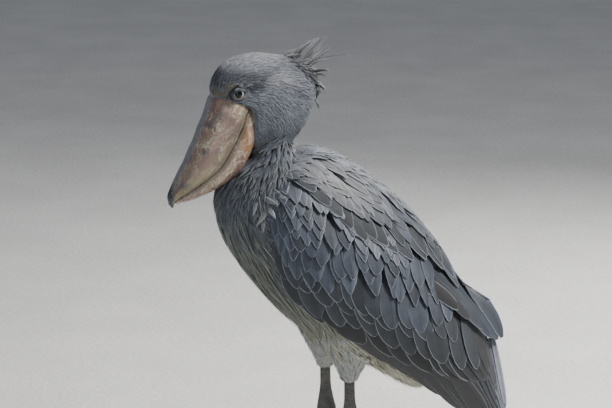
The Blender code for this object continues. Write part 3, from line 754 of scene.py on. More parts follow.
def mottle_group() -> bpy.types.NodeTree:
    """Soft patches of two colours with fine grain.

    Returns:
        The group.
    """
    tree, b, given, wanted = new_group(
        "mottle",
        {"Place": "Vector", "Dark": (0.1, 0.1, 0.1), "Light": (0.3, 0.3, 0.3), "Scale": 20.0, "Grain": 300.0},
        {"Colour": "Color", "Height": "Float"},
    )
    coarse = b.noise(given["Place"], given["Scale"], 6.0, 0.6)
    fine = b.noise(given["Place"], given["Grain"], 2.0, 0.5)
    colour = b.mix(coarse.reach(0.36, 0.66), given["Dark"], given["Light"])
    b.feed(wanted["Colour"], b.mix(1.0, colour, b.grey(fine * 0.5 + 0.75), "MULTIPLY"))
    b.feed(wanted["Height"], fine + coarse * 0.6)
    return tree


def vein_group() -> bpy.types.NodeTree:
    """Thin wandering lines, as marbling on horn.

    Returns:
        The group.
    """
    sockets = {"Place": "Vector", "Scale": 60.0, "Width": 0.06, "Wander": 0.02}
    tree, b, given, wanted = new_group("veins", sockets, {"Mask": "Float", "Height": "Float"})
    bend = b.step("ShaderNodeTexNoise", {"Vector": given["Place"], "Scale": 45.0, "Detail": 3.0}, "Color")
    move = b.step("ShaderNodeVectorMath", {0: bend, "Scale": given["Wander"]}, operation="SCALE")
    place = b.step("ShaderNodeVectorMath", {0: given["Place"], 1: move}, operation="ADD")
    cells = {"Vector": place, "Scale": given["Scale"]}
    distance = b.step("ShaderNodeTexVoronoi", cells, "Distance", feature="DISTANCE_TO_EDGE")
    line = 1.0 - (distance / given["Width"]).clamped()
    b.feed(wanted["Mask"], line * b.noise(given["Place"], 38.0, 3.0).reach(0.34, 0.54))
    b.feed(wanted["Height"], line)
    return tree


class Finish:
    """A material with one Principled shader and a bench for its nodes."""

    groups: dict = {}

    def __init__(self, name: str, roughness: float, **sockets: float) -> None:
        """Makes the material.

        Args:
            name: the material's name.
            roughness: the shader's plain roughness.
            sockets: other plain values of the shader, with _ for each space of a socket's name.
        """
        self.material = bpy.data.materials.new(name)
        self.material.use_nodes = True
        self.bench = Bench(self.material.node_tree)
        self.shader = self.material.node_tree.nodes["Principled BSDF"]
        self.shader.inputs["Roughness"].default_value = roughness
        for key, value in sockets.items():
            self.shader.inputs[key.replace("_", " ")].default_value = value

    def use(self, maker: Callable[[], bpy.types.NodeTree], **values: object) -> dict[str, Value]:
        """Places a shared group, which is built when it is first wanted.

        Args:
            maker: the function that builds the group.
            values: the group's own values, with _ for each space of a socket's name.

        Returns:
            The group's outputs by name.
        """
        if maker not in self.groups:
            self.groups[maker] = maker()
        made = self.bench.node("ShaderNodeGroup", node_tree=self.groups[maker])
        for key, value in values.items():
            self.bench.feed(made.inputs[key.replace("_", " ")], value)
        return {socket.name: Value(self.bench, socket) for socket in made.outputs}

    def colour(self, value: object) -> None:
        """Feeds the base colour."""
        self.bench.feed(self.shader.inputs["Base Color"], value)

    def relief(self, height: Value, depth: float, strength: float = 1.0) -> None:
        """Feeds a bump of a depth in metres."""
        feeds = {"Height": height, "Distance": depth, "Strength": strength}
        self.bench.feed(self.shader.inputs["Normal"], self.bench.step("ShaderNodeBump", feeds, "Normal"))


@dataclass(frozen=True)
class MottledFinish:
    """The look of a surface in soft patches of two colours."""

    name: str
    roughness: float
    dark: Colour
    light: Colour
    scale: float
    grain: float
    depth: float = 0.0

    def start(self, **sockets: float) -> tuple[Finish, Value, Value]:
        """Starts the material.

        Args:
            sockets: other plain values of the shader.

        Returns:
            The material under way, the patches' colour and their height.
        """
        made = Finish(self.name, self.roughness, **sockets)
        look = {"Dark": self.dark, "Light": self.light, "Scale": self.scale, "Grain": self.grain}
        patches = made.use(mottle_group, Place=made.bench.place(), **look)
        return made, patches["Colour"], patches["Height"]

    def build(self, **sockets: float) -> Material:
        """Builds the material with nothing more on it.

        Args:
            sockets: other plain values of the shader.

        Returns:
            The material.
        """
        made, colour, height = self.start(**sockets)
        made.colour(colour)
        made.relief(height, self.depth)
        return made.material


@dataclass(frozen=True)
class FeatherFinish:
    """The look of one kind of feather."""

    name: str
    rim_colour: Colour = (0.30, 0.33, 0.37)
    rim: float = 0.6
    rim_width: float = 0.0013
    rim_start: float = 0.35
    barbs: float = 0.25
    pitch: float = 0.0022
    shaft: float = 0.5
    edge_lift: float = 0.5
    streaks: float = 0.6
    roughness: float = 0.60
    gloss: float = 0.30

    def build(self) -> Material:
        """Builds the material.

        Returns:
            The material.
        """
        made = Finish(
            self.name, self.roughness, Sheen_Weight=0.08, Sheen_Roughness=0.45, Specular_IOR_Level=self.gloss
        )
        b = made.bench
        carried = {key: b.attribute(key.lower()) for key in ("Across", "Along", "Wide", "Reach")}
        own = (
            "Rim_Colour", "Rim", "Rim_Width", "Rim_Start", "Barbs", "Pitch", "Shaft", "Edge_Lift", "Streaks",
        )
        values = {key: getattr(self, key.lower()) for key in own}
        barbs = made.use(barb_group, Tint=b.attribute("tint", "Color"), **carried, **values)
        made.colour(barbs["Colour"])
        made.relief(barbs["Height"], 0.0003, 0.6)
        return made.material


# Feathers


class Outline(Enum):
    """The outlines of feathers: (station, half width) pairs from root to tip, as shares of its size."""

    OVAL = (
        (0.0, 0.45), (0.18, 0.76), (0.36, 0.95), (0.52, 1.0), (0.65, 0.96), (0.76, 0.84), (0.85, 0.66),
        (0.92, 0.46), (0.97, 0.26), (1.0, 0.04),
    )
    POINTED = (
        (0.0, 0.42), (0.18, 0.74), (0.34, 0.95), (0.48, 1.0), (0.62, 0.90), (0.74, 0.73), (0.84, 0.52),
        (0.91, 0.34), (0.97, 0.17), (1.0, 0.03),
    )
    FLIGHT = (
        (0.0, 0.60), (0.2, 0.86), (0.40, 0.98), (0.60, 1.0), (0.74, 0.98), (0.84, 0.90), (0.91, 0.75),
        (0.96, 0.55), (0.99, 0.30), (1.0, 0.06),
    )
    PLUME = ((0.0, 0.50), (0.22, 0.95), (0.45, 1.0), (0.68, 0.74), (0.86, 0.42), (1.0, 0.05))
    STRAND = ((0.0, 0.60), (0.28, 1.0), (0.55, 0.85), (0.80, 0.50), (1.0, 0.06))
    SCALE = ((0.0, 0.55), (0.40, 1.0), (0.75, 0.80), (1.0, 0.12))

    @property
    def stations(self) -> Array:
        """Shares of the length at which the widths stand."""
        return np.array([station for station, _ in self.value])

    @property
    def widths(self) -> Array:
        """The half widths at the stations."""
        return np.array([width for _, width in self.value])


class Section(Enum):
    """The cross sections of feathers: (rise, across) points of a closed ring, as shares of the half width."""

    VANE = (
        (0.0, -1.0), (0.030, -0.93), (0.075, -0.45), (0.110, -0.05),
        (0.110, 0.05), (0.075, 0.45), (0.030, 0.93),
        (0.0, 1.0), (0.025, 0.45), (0.050, 0.0), (0.025, -0.45),
    )
    LEAF = ((0.0, -1.0), (0.10, -0.75), (0.22, 0.0), (0.10, 0.75), (0.0, 1.0), (0.04, 0.0))
    STRAND = ((0.0, -1.0), (0.38, 0.0), (0.0, 1.0), (-0.10, 0.0))


def feather_tree() -> bpy.types.GeometryNodeTree:
    """The tree that sweeps a section along each feather's line and gives it its bake patch.

    Returns:
        The tree.
    """
    sockets = {"Lines": "Geometry", "Section": "Object", "Finish": "Material", "Bake Patch": 0.003}
    tree, b, given, wanted = new_group("feathers", sockets, {"Coat": "Geometry"}, "Geometry")

    def named(name: str, kind: str) -> Value:
        """A named attribute of the lines."""
        return b.step("GeometryNodeInputNamedAttribute", {"Name": name}, "Attribute", data_type=kind)

    lines = b.step("GeometryNodeMeshToCurve", {"Mesh": given["Lines"]})
    normals = {"Curve": lines, "Normal": named("upright", "FLOAT_VECTOR")}
    upright = b.step("GeometryNodeSetCurveNormal", normals, mode="FREE")
    section = b.step("GeometryNodeObjectInfo", {"Object": given["Section"]}, "Geometry")
    ring = b.step("GeometryNodeMeshToCurve", {"Mesh": section})
    swept = {"Curve": upright, "Profile Curve": ring, "Scale": named("wide", "FLOAT"), "Fill Caps": True}
    sweep = b.step("GeometryNodeCurveToMesh", swept)
    spot = b.vector(named("across", "FLOAT"), named("along", "FLOAT"), 0.0)
    small = b.step("ShaderNodeVectorMath", {0: spot, "Scale": given["Bake Patch"]}, operation="SCALE")
    home = b.step("ShaderNodeVectorMath", {0: named("root", "FLOAT_VECTOR"), 1: small}, operation="ADD")
    patch = {"Geometry": sweep, "Name": "OFBake", "Value": home}
    store = b.step("GeometryNodeStoreNamedAttribute", patch, data_type="FLOAT2", domain="CORNER")
    real = b.step("GeometryNodeRealizeInstances", {0: store})
    b.feed(wanted["Coat"], b.step("GeometryNodeSetMaterial", {0: real, "Material": given["Finish"]}))
    return tree


@dataclass
class Plumes:
    """A batch of feathers as lines with a normal, a half width and a colour at each station."""

    section: Section
    centres: list = field(default_factory=list)
    uprights: list = field(default_factory=list)
    wide: list = field(default_factory=list)
    tints: list = field(default_factory=list)
    roots: list = field(default_factory=list)
    shares: list = field(default_factory=list)

    def add(self, path: Array, upright: Array, wide: Array, tint: Array, root: Span, share: Array) -> None:
        """Adds one feather.

        Args:
            path: its line.
            upright: its normal at each point.
            wide: its half width at each point.
            tint: its colour.
            root: where its patch lies on the bake's square.
            share: the share of its length at each point.
        """
        self.centres.append(path)
        self.uprights.append(upright)
        self.wide.append(wide)
        self.tints.append(np.tile(tint, (len(path), 1)))
        self.roots.append(root)
        self.shares.append(share)

    @staticmethod
    def joined(batches: list["Plumes"]) -> "Plumes":
        """Puts several batches with the same stations together.

        Args:
            batches: the batches.

        Returns:
            One batch of them all.
        """
        keys = ("centres", "uprights", "wide", "tints", "roots", "shares")
        arrays = {key: np.concatenate([np.array(getattr(batch, key)) for batch in batches]) for key in keys}
        return Plumes(batches[0].section, **arrays)


class FeatherShop:
    """Turns batches of feathers into pieces through one tree of Geometry Nodes."""

    def __init__(self) -> None:
        """Builds the tree once."""
        self.tree = feather_tree()
        items = self.tree.interface.items_tree
        self.inputs = {item.name: item.identifier for item in items if item.in_out == "INPUT"}

    def section(self, shape: Section) -> Piece:
        """The ring object of a cross section.

        Args:
            shape: the cross section.

        Returns:
            The ring, with its places across the feather as an attribute.
        """
        points = shape.value
        edges = [(i, (i + 1) % len(points)) for i in range(len(points))]
        mesh = bpy.data.meshes.new("section")
        mesh.from_pydata([(x, y, 0.0) for x, y in points], edges, [])
        put_attribute(mesh, "across", np.array([y for _, y in points]))
        return new_object("section", mesh)

    def coat(self, name: str, batches: list[Plumes], finish: Material) -> Piece:
        """Sweeps every feather of some batches into one mesh.

        Args:
            name: the piece's name.
            batches: its feathers.
            finish: its material.

        Returns:
            The piece, a plain mesh.
        """
        plumes = Plumes.joined(batches)
        count, stations, _ = plumes.centres.shape
        mesh = bpy.data.meshes.new(name)
        numbers = np.arange(count * stations).reshape(count, stations)
        mesh.vertices.add(count * stations)
        mesh.vertices.foreach_set("co", plumes.centres.astype(np.float32).ravel())
        edges = np.stack((numbers[:, :-1], numbers[:, 1:]), -1).reshape(-1, 2)
        mesh.edges.add(len(edges))
        mesh.edges.foreach_set("vertices", edges.astype(np.int32).ravel())
        reach = np.linalg.norm(np.diff(plumes.centres, axis=1), axis=-1).sum(1)
        tints = plumes.tints.reshape(-1, 3)
        carried = {
            "upright": plumes.uprights.reshape(-1, 3), "wide": plumes.wide.ravel(),
            "reach": np.repeat(reach, stations),
            "along": plumes.shares.ravel(), "tint": np.concatenate((tints, np.ones((len(tints), 1))), 1),
            "root": np.repeat(np.pad(plumes.roots, ((0, 0), (0, 1))), stations, 0),
        }
        for key, values in carried.items():
            put_attribute(mesh, key, values)
        mesh.update()
        piece = new_object(name, mesh)
        ring = self.section(plumes.section)
        modifier = piece.modifiers.new("feathers", "NODES")
        modifier.node_group = self.tree
        modifier[self.inputs["Section"]] = ring
        modifier[self.inputs["Finish"]] = finish
        baked(piece)
        bpy.data.objects.remove(ring)
        for spare in ("upright", "root"):
            layer = piece.data.attributes.get(spare)
            if layer:
                piece.data.attributes.remove(layer)
        return piece


@dataclass(frozen=True)
class Tract:
    """One field of small feathers on the skin, laid in staggered rows."""

    name: str
    surface: Surface
    stations: Span
    angles: Span
    pitch: Span
    length: Span
    half: float
    sink: float
    rise: float
    outline: Outline
    section: Section
    first: Colour
    last: Colour
    scatter: float = 0.14
    sway: float = 5.0
    swing: float = 0.0
    curl: float = 0.0
    reach: float = 0.016

    def places(self, draw: np.random.Generator) -> tuple[Array, Array]:
        """Where the feathers root: stations and angles of every one.

        Args:
            draw: the source of chance.

        Returns:
            Stations and angles.
        """
        low, high = self.stations
        middle = sum(self.angles) / 2
        line = self.surface.point(np.linspace(low, high, 24), np.full(24, middle))
        rows = max(2, round(float(np.linalg.norm(np.diff(line, axis=0), axis=1).sum()) / self.pitch[0]))
        stations, angles = [], []
        for i in range(rows):
            s = low + (high - low) * (i + 0.5) / rows
            round_it = self.surface.point(np.full(40, s), np.linspace(*self.angles, 40))
            reach = float(np.linalg.norm(np.diff(round_it, axis=0), axis=1).sum())
            count = max(2, round(reach / self.pitch[1]))
            turn = (self.angles[1] - self.angles[0]) / count
            a = self.angles[0] + turn * (np.arange(count) + 0.5 * (i % 2) + 0.25)
            stations.append(s + draw.uniform(-0.35, 0.35, count) * (high - low) / rows)
            angles.append(a + draw.uniform(-0.3, 0.3, count) * turn)
        return np.clip(np.concatenate(stations), low, high), np.concatenate(angles)


def horny(point: Array) -> bool:
    """Whether a place on the face belongs to the bill, in front of the feather line.

    Args:
        point: the place.

    Returns:
        True on the bill.
    """
    _, ahead, height = turned(point, back=True)
    z, y = np.array(FEATHER_LINE).T
    return bool(z[0] < height < z[-1] and BILL_REACH < ahead < np.interp(height, z, y))


@dataclass
class Skin:
    """The bird's one skin, from the face to the thighs, and the feathers that grow on it."""

    eyes: "Eyes"
    voxel: float = 0.0032
    pad_depth: float = 0.0095
    pad_thickness: tuple = ((0.0, 0.034), (4.5, 0.030), (6.9, 0.018), (7.9, 0.010))
    nape_height: float = 0.812
    nape_spread: float = 0.026
    nape_pull: float = 0.014
    # Half the face's width under the bill's base, as (z, half width).
    face_width: tuple = ((0.76, 0.030), (0.80, 0.046), (0.90, 0.046), (0.92, 0.040))
    cover_reach: float = 0.09
    tree: BVHTree | None = None
    cover: BVHTree | None = None

    @staticmethod
    def rings(surface: Surface, steps: int, sides: int, depth: float) -> Array:
        """Rings of a form sunk below its surface, with rounded ends.

        Args:
            surface: the form.
            steps: how many rings run along it.
            sides: how many points each has.
            depth: how far it is sunk.

        Returns:
            The rings.
        """
        last = len(surface.rows) - 1
        round_it = np.linspace(0, 360, sides, endpoint=False)
        s, a = np.meshgrid(np.linspace(0, last, steps), round_it, indexing="ij")
        point, normal, _, _ = surface.frame(np.clip(s, 0.02, last - 0.02), a)
        rings = point - normal * depth
        ends = []
        for end, inner in ((0, 1), (-1, -2)):
            centre = rings[end].mean(0)
            onward = centre - rings[inner].mean(0)
            ends.append(centre + (rings[end] - centre) * 0.72 + onward * 0.45)
        return np.concatenate((ends[0][None], rings, ends[1][None]))

    def pad_rings(self) -> Array:
        """Rings of the soft pad that fills the back between the wings.

        Returns:
            The rings.
        """
        steps, across = 40, 24
        s, a = np.meshgrid(np.linspace(0.02, 7.9, steps), np.linspace(-96, 96, across), indexing="ij")
        point, normal, _, _ = BACK.frame(s, a)
        thick = np.interp(s, *np.array(self.pad_thickness).T)[..., None]
        inner = point - normal * (self.pad_depth + thick)
        return np.concatenate((point - normal * self.pad_depth, inner[:, ::-1]), 1)

    def build(self) -> Piece:
        """Joins the flesh of torso, neck, head and thighs into one smooth skin.

        Returns:
            The skin.
        """
        forms = [
            self.rings(TORSO, 40, 48, 0.0075), self.rings(NECK, 16, 40, 0.006),
            self.rings(HEAD, 28, 40, 0.0022),
            *(self.rings(thigh, 16, 24, 0.005) for thigh in THIGHS.values()), self.pad_rings(),
        ]
        bm = bmesh.new()
        for form in forms:
            piece = loft("flesh", form)
            bm.from_mesh(piece.data)
            bpy.data.objects.remove(piece)
        mesh = bpy.data.meshes.new("skin")
        bm.to_mesh(mesh)
        bm.free()
        skin = new_object("skin", mesh)
        remesh = skin.modifiers.new("skin", "REMESH")
        remesh.mode = "VOXEL"
        remesh.voxel_size = self.voxel
        remesh.use_smooth_shade = True
        smooth = skin.modifiers.new("smooth", "SMOOTH")
        smooth.iterations = 5
        smooth.factor = 0.5
        baked(skin)
        self.raise_brows(skin)
        self.draw_nape(skin)
        self.sink_sockets(skin)
        self.press_face(skin)
        faces = [p.vertices for p in skin.data.polygons]
        self.tree = BVHTree.FromPolygons([v.co for v in skin.data.vertices], faces)
        return skin

    def raise_brows(self, skin: Piece) -> None:
        """Draws a soft ridge out of the skin above each eye.

        Args:
            skin: the skin.
        """
        local = turned(places(skin), back=True)
        x, y, z = local.T
        line = self.eyes.brow_height + 0.10 * (y - self.eyes.place[1])
        along = bump(y, self.eyes.place[1] - 0.002, 0.034) ** 0.5
        ridge = bump(z, line, 0.0085) * along * (np.abs(x) > 0.02)
        local[:, 0] += np.sign(x) * ridge * self.eyes.brow_rise
        move_to(skin, turned(local))

    def draw_nape(self, skin: Piece) -> None:
        """Draws the back of the neck in, between the nape and the mantle.

        Args:
            skin: the skin.
        """
        local = turned(places(skin), back=True)
        share = bump(local[:, 2], self.nape_height, self.nape_spread)
        share *= np.clip((local[:, 1] + 0.125) / 0.035, 0.0, 1.0)
        local[:, 1] -= self.nape_pull * share * (local[:, 1] < -0.02)
        move_to(skin, turned(local))

    def sink_sockets(self, skin: Piece) -> None:
        """Presses the skin in behind each eye.

        Args:
            skin: the skin.
        """
        points = places(skin)
        for side in (1.0, -1.0):
            centre = self.eyes.centre(side)
            away = points - centre
            distance = np.linalg.norm(away, axis=1)
            near = (distance < self.eyes.radius * 1.12) & (away[:, 0] * side > -0.004)
            depth = np.minimum(distance[near], self.eyes.radius * 0.72)
            points[near] = centre + away[near] / distance[near][:, None] * depth[:, None]
        move_to(skin, points)

    def press_face(self, skin: Piece) -> None:
        """Presses the skin in where the bill's base lies on it.

        Args:
            skin: the skin.
        """
        local = turned(places(skin), back=True)
        z, y = np.array(FEATHER_LINE).T
        line = np.interp(local[:, 2], z, y)
        inside = (local[:, 2] > z[0]) & (local[:, 2] < z[-1])
        share = np.clip((line + 0.003 - local[:, 1]) / 0.007, 0.0, 1.0) * inside
        limit = np.interp(local[:, 2], *np.array(self.face_width).T)
        width = np.abs(local[:, 0])
        pressed = np.where(width > limit, width + (limit - width) * share, width)
        local[:, 0] = np.sign(local[:, 0]) * pressed
        move_to(skin, turned(local))

    def hide_under(self, shapes: list[Piece]) -> None:
        """Notes the shapes under which no feather is wanted.

        Args:
            shapes: the shapes.
        """
        points, faces = [], []
        for shape in shapes:
            start = len(points)
            points += [v.co.copy() for v in shape.data.vertices]
            faces += [[start + i for i in p.vertices] for p in shape.data.polygons]
        self.cover = BVHTree.FromPolygons(points, faces)

    def grow(self, tract: Tract, seed: int) -> Plumes:
        """Lays a tract's feathers over the skin along its lie.

        Args:
            tract: the field of feathers.
            seed: the fixed seed of its chance.

        Returns:
            The feathers.
        """
        draw = np.random.default_rng(seed)
        s, a = tract.places(draw)
        point, normal, run, _ = tract.surface.frame(s, a)
        share = (s - tract.stations[0]) / (tract.stations[1] - tract.stations[0])
        lower = np.clip(0.65 - np.sin(np.radians(a)), 0.0, 1.0) * np.cos(np.radians(a))
        sway = np.radians(draw.normal(0.0, tract.sway, len(s)) + tract.swing * lower)
        run, across = unit(run), np.cross(normal, unit(run))
        heading = run * np.cos(sway)[:, None] + across * np.sin(sway)[:, None]
        lengths = tract.length[0] + (tract.length[1] - tract.length[0]) * share
        lengths *= draw.uniform(0.85, 1.12, len(s))
        stations = tract.outline.stations
        lift = tract.sink + (tract.rise - tract.sink) * stations**0.75
        centres, uprights, kept = [], [], []
        for i in range(len(s)):
            found = self.walk(point[i], heading[i], lengths[i], stations, tract.reach)
            if found is None:
                continue
            path, normals = found
            height = lift * draw.uniform(0.8, 1.25) + tract.curl * stations**3 * draw.uniform(0.2, 1.0)
            centres.append(path + normals * height[:, None])
            uprights.append(normals)
            kept.append(i)
        kept = np.array(kept, int)
        tone = 1.0 + draw.normal(0.0, tract.scatter, (len(kept), 1))
        tints = mixed(tract.first, tract.last, share[kept]) * np.clip(tone, 0.5, 1.6)
        tints = np.repeat(tints[:, None], len(stations), 1)
        breadth = tract.half * draw.uniform(0.85, 1.15, (len(kept), 1)) * tract.outline.widths[None]
        last = len(tract.surface.rows) - 1
        roots = np.stack(((a[kept] % 360.0) / 360.0 * 0.98 + 0.01, s[kept] / last * 0.97 + 0.01), 1)
        shares = np.tile(stations, (len(kept), 1))
        return Plumes(tract.section, np.array(centres), np.array(uprights), breadth, tints, roots, shares)

    def walk(
        self, start: Array, heading: Array, length: float, stations: Array, reach: float
    ) -> tuple[Array, Array] | None:
        """Walks over the skin from a root.

        Args:
            start: where the feather roots, near the skin.
            heading: which way it points.
            length: how far it goes.
            stations: the shares of the length that are wanted.
            reach: how far the skin may lie from the start.

        Returns:
            Points and normals on the skin, or None where the root is hidden or bare.
        """
        here, up, _, distance = self.tree.find_nearest(Vector(start))
        if distance > reach or self.eyes.bare(here) or horny(np.array(here)):
            return None
        way = Vector(heading)
        if self.cover is not None:
            probe = here + up * 0.002
            ahead = way * length * 0.3
            if all(self.cover.ray_cast(at, up, self.cover_reach)[0] for at in (probe, probe + ahead)):
                return None
        path, normals = [here], [up]
        for stride in np.diff(stations) * length:
            way = (way - up * way.dot(up)).normalized()
            here, up, _, _ = self.tree.find_nearest(here + way * stride)
            path.append(here)
            normals.append(up)
        line = np.array(path)
        return line, squared(np.array(normals), line)


@dataclass(frozen=True)
class Tier:
    """A row of large feathers on a wing: their tips follow knots on its surface."""

    name: str
    count: int
    knots: tuple
    heading: Span
    length: Span
    half: float
    root: float
    tip: float
    outline: Outline
    first: Colour
    last: Colour
    roll: float = 5.5
    climb: float = 0.0
    scatter: float = 0.16
    stray: float = 1.0

    def feathers(self, surface: WingSurface, seed: int) -> Plumes:
        """Lays the tier on a wing.

        Args:
            surface: the wing's surface.
            seed: the fixed seed of its chance.

        Returns:
            The feathers.
        """
        draw = np.random.default_rng(seed)
        n = self.count
        share = np.linspace(0.0, 1.0, n)
        tips = spline(np.array(self.knots), share * (len(self.knots) - 1))
        tips = tips + draw.normal(0.0, 1.0, (n, 2)) * np.array((0.050, 0.014)) * self.stray
        lengths = self.length[0] + (self.length[1] - self.length[0]) * share
        lengths *= draw.uniform(0.93, 1.07, n)
        turn = draw.normal(0.0, 0.075, n) * self.stray
        heading = np.array(self.heading)
        strides = 48
        walk = [tips]
        for _ in range(strides):
            u, v = walk[-1][:, 0], walk[-1][:, 1]
            _, _, run, fall = surface.frame(u, v)
            stride = lengths / strides
            walk.append(np.stack((
                u - stride * (heading[0] - turn * heading[1]) / np.maximum(np.linalg.norm(run, axis=1), 0.04),
                v - stride * (heading[1] + turn * heading[0]) / np.maximum(np.linalg.norm(fall, axis=1), 0.02),
            ), 1))
        stations = self.outline.stations
        picked = np.array([walk[round((1 - t) * strides)] for t in stations])
        point, normal, _, _ = surface.frame(picked[..., 0], picked[..., 1])
        point, normal = point.transpose(1, 0, 2), normal.transpose(1, 0, 2)
        rise = self.root + (self.tip - self.root) * stations**0.8
        height = rise[None] + (self.climb * np.arange(n))[:, None]
        centres = point + normal * height[..., None]
        side = np.cross(course(centres), normal)
        roll = np.radians(self.roll + draw.uniform(-1.2, 1.2, n)) * surface.side
        uprights = normal * np.cos(roll)[:, None, None] - side * np.sin(roll)[:, None, None]
        uprights = squared(uprights, centres)
        wide = self.half * draw.uniform(0.88, 1.10, (n, 1)) * self.outline.widths[None]
        tone = np.clip(1.0 + draw.normal(0.0, self.scatter, (n, 1)), 0.6, 1.5)
        u, v = picked[..., 0].T, picked[..., 1].T
        base = mixed(self.first, self.last, share)[:, None] * tone[:, None]
        patch = bump(u, 1.75, 1.05) * bump(v, 0.10, 0.13) * (self.first not in (NIGHT, DEEP_SLATE))
        tints = mixed(np.repeat(base, len(stations), 1), WARM_GREY, 0.85 * patch)
        roots = np.stack((u[:, 0] / 9.0 * 0.9 + 0.04, np.clip(v[:, 0], 0, 1) * 0.9 + 0.04), 1)
        return Plumes(Section.VANE, centres, uprights, wide, tints, roots, np.tile(stations, (n, 1)))


# Sub-assemblies


@dataclass
class Eyes:
    """Both eyes with their lids."""

    place: tuple = (0.0478, -0.200, 0.911)
    radius: float = 0.0145
    opening: Span = (0.0112, 0.0078)
    bare_size: Span = (0.0165, 0.0125)
    brow_height: float = 0.9255
    brow_rise: float = 0.0065
    # Each ring of the lids: its size beside the opening's, and its distance from the eye's centre.
    lid_rings: tuple = (
        (0.90, 0.0132), (0.95, 0.01475), (0.99, 0.0156), (1.06, 0.0163), (1.15, 0.01635), (1.24, 0.0159),
        (1.33, 0.01635), (1.43, 0.0160), (1.52, 0.0153), (1.62, 0.0153), (1.75, 0.0142), (1.80, 0.0110),
    )

    def centre(self, side: float) -> Array:
        """An eye's centre on one side."""
        return turned(np.array((side * self.place[0], self.place[1], self.place[2])))

    def almond(self, angle: Array) -> Array:
        """The opening's outline in the side view.

        Args:
            angle: places round it, 0 at its back corner.

        Returns:
            Offsets (y, z) from the centre.
        """
        length, height = self.opening
        rise = height * np.sin(angle) * np.where(np.sin(angle) < 0, 1.05, 0.72)
        return np.stack((length * np.cos(angle), rise + 0.16 * length * np.cos(angle)), -1)

    def bare(self, point: Vector) -> bool:
        """Whether a place on the skin belongs to the lids.

        Args:
            point: the place.

        Returns:
            True on the lids.
        """
        long, high = self.bare_size
        for side in (1.0, -1.0):
            x, y, z = np.array(point) - self.centre(side)
            if x * side > -0.006 and (y / long) ** 2 + (z / high) ** 2 < 1.0:
                return True
        return False

    def ball(self, name: str, side: float) -> Piece:
        """An eyeball whose rings run round its line of sight.

        Args:
            name: the piece's name.
            side: 1 at the left, -1 at the right.

        Returns:
            The eyeball, with the angle from its line of sight and its fibres as attributes.
        """
        rings, sides = 40, 56
        sight = unit(turned(np.array((side, -0.16, -0.02)), True))
        up = unit(np.cross(sight, np.array((0.0, 1.0, 0.0))))
        polar = np.linspace(0.0, math.pi, rings + 1)[1:-1]
        angle = np.linspace(0, 2 * math.pi, sides, endpoint=False)
        bulge = 1.0 + 0.035 * np.exp(-((polar / 0.50) ** 2))
        around = np.cos(angle)[:, None] * up + np.sin(angle)[:, None] * np.cross(sight, up)
        ways = np.cos(polar)[:, None, None] * sight + np.sin(polar)[:, None, None] * around[None]
        made = loft(name, self.centre(side) + self.radius * bulge[:, None, None] * ways)
        put_attribute(made.data, "gaze", np.concatenate((np.repeat(polar, sides), (0.0, math.pi))))
        spokes = np.tile(np.sin(angle * 23.0), len(polar))
        put_attribute(made.data, "spoke", np.append(spokes, (0.0, 0.0)))
        return made

    def lids(self, name: str, side: float) -> Piece:
        """The ring of bare lids with two folds, from the eyeball out to the skin.

        Args:
            name: the piece's name.
            side: 1 at the left, -1 at the right.

        Returns:
            The lids, with their lower part and their rim as attributes.
        """
        sides = 96
        angle = np.linspace(0, 2 * math.pi, sides, endpoint=False)
        centre = self.centre(side)
        rings = []
        for reach, radius in self.lid_rings:
            flat = self.almond(angle) * reach * (1.0 - 0.10 * (reach - 0.9) * np.abs(np.cos(angle)))[:, None]
            radius = radius + 0.00025 * np.sin(angle * 17.0 + reach * 9.0) * (reach > 1.0)
            radius = radius + 0.0009 * (np.sin(angle) > 0) * (reach > 1.0) * (reach < 1.5)
            depth = np.sqrt(np.maximum(radius**2 - (flat**2).sum(1), 1e-8))
            rings.append(centre + turned(np.stack((side * depth, flat[:, 0], flat[:, 1]), 1), True))
        count = len(rings)
        faces = [
            (i * sides + j, i * sides + (j + 1) % sides, after * sides + (j + 1) % sides, after * sides + j)
            for i, after in enumerate((*range(1, count), 0)) for j in range(sides)
        ]
        made = solid(name, np.concatenate(rings), faces)
        reach = np.repeat([size for size, _ in self.lid_rings], sides)
        lower = np.tile(np.clip(-np.sin(angle), 0, 1), count)
        put_attribute(made.data, "lower", lower * bump(reach, 1.18, 0.13))
        put_attribute(made.data, "rim", bump(reach, 0.97, 0.05))
        return made

    def eye_finish(self) -> Material:
        """A pale iris with a black pupil under a clear, wet surface.

        Returns:
            The material.
        """
        made = Finish("eye", 0.22, Specular_IOR_Level=0.2, Coat_Weight=0.2, Coat_Roughness=0.03)
        b = made.bench
        gaze = b.attribute("gaze")
        fibres = b.attribute("spoke") * 0.10 + b.noise(b.place(), 900.0, 4.0)
        made.colour(b.layers(
            (0.12, 0.155, 0.16), (fibres.reach(0.30, 0.75), (0.33, 0.40, 0.40)),
            (gaze.reach(0.70, 0.84), (0.035, 0.04, 0.045)),
            ((1.0 - gaze.reach(0.52, 0.62)) * 0.5, (0.10, 0.13, 0.13)),
            (1.0 - gaze.reach(0.48, 0.52), (0.002, 0.002, 0.003)),
            (gaze.reach(0.84, 0.95), (0.02, 0.018, 0.018)),
        ))
        return made.material

    def lid_finish(self) -> Material:
        """Dark wrinkled skin with a pink and yellowish lower lid.

        Returns:
            The material.
        """
        look = MottledFinish("lid skin", 0.55, (0.018, 0.020, 0.026), (0.055, 0.060, 0.070), 160.0, 900.0)
        made, colour, height = look.start(Specular_IOR_Level=0.4)
        b = made.bench
        lower, rim = b.attribute("lower") * 0.8, b.attribute("rim")
        made.colour(b.layers(colour, (lower, (0.30, 0.20, 0.15)), (rim, (0.02, 0.02, 0.022))))
        made.relief(height, 0.0003)
        return made.material

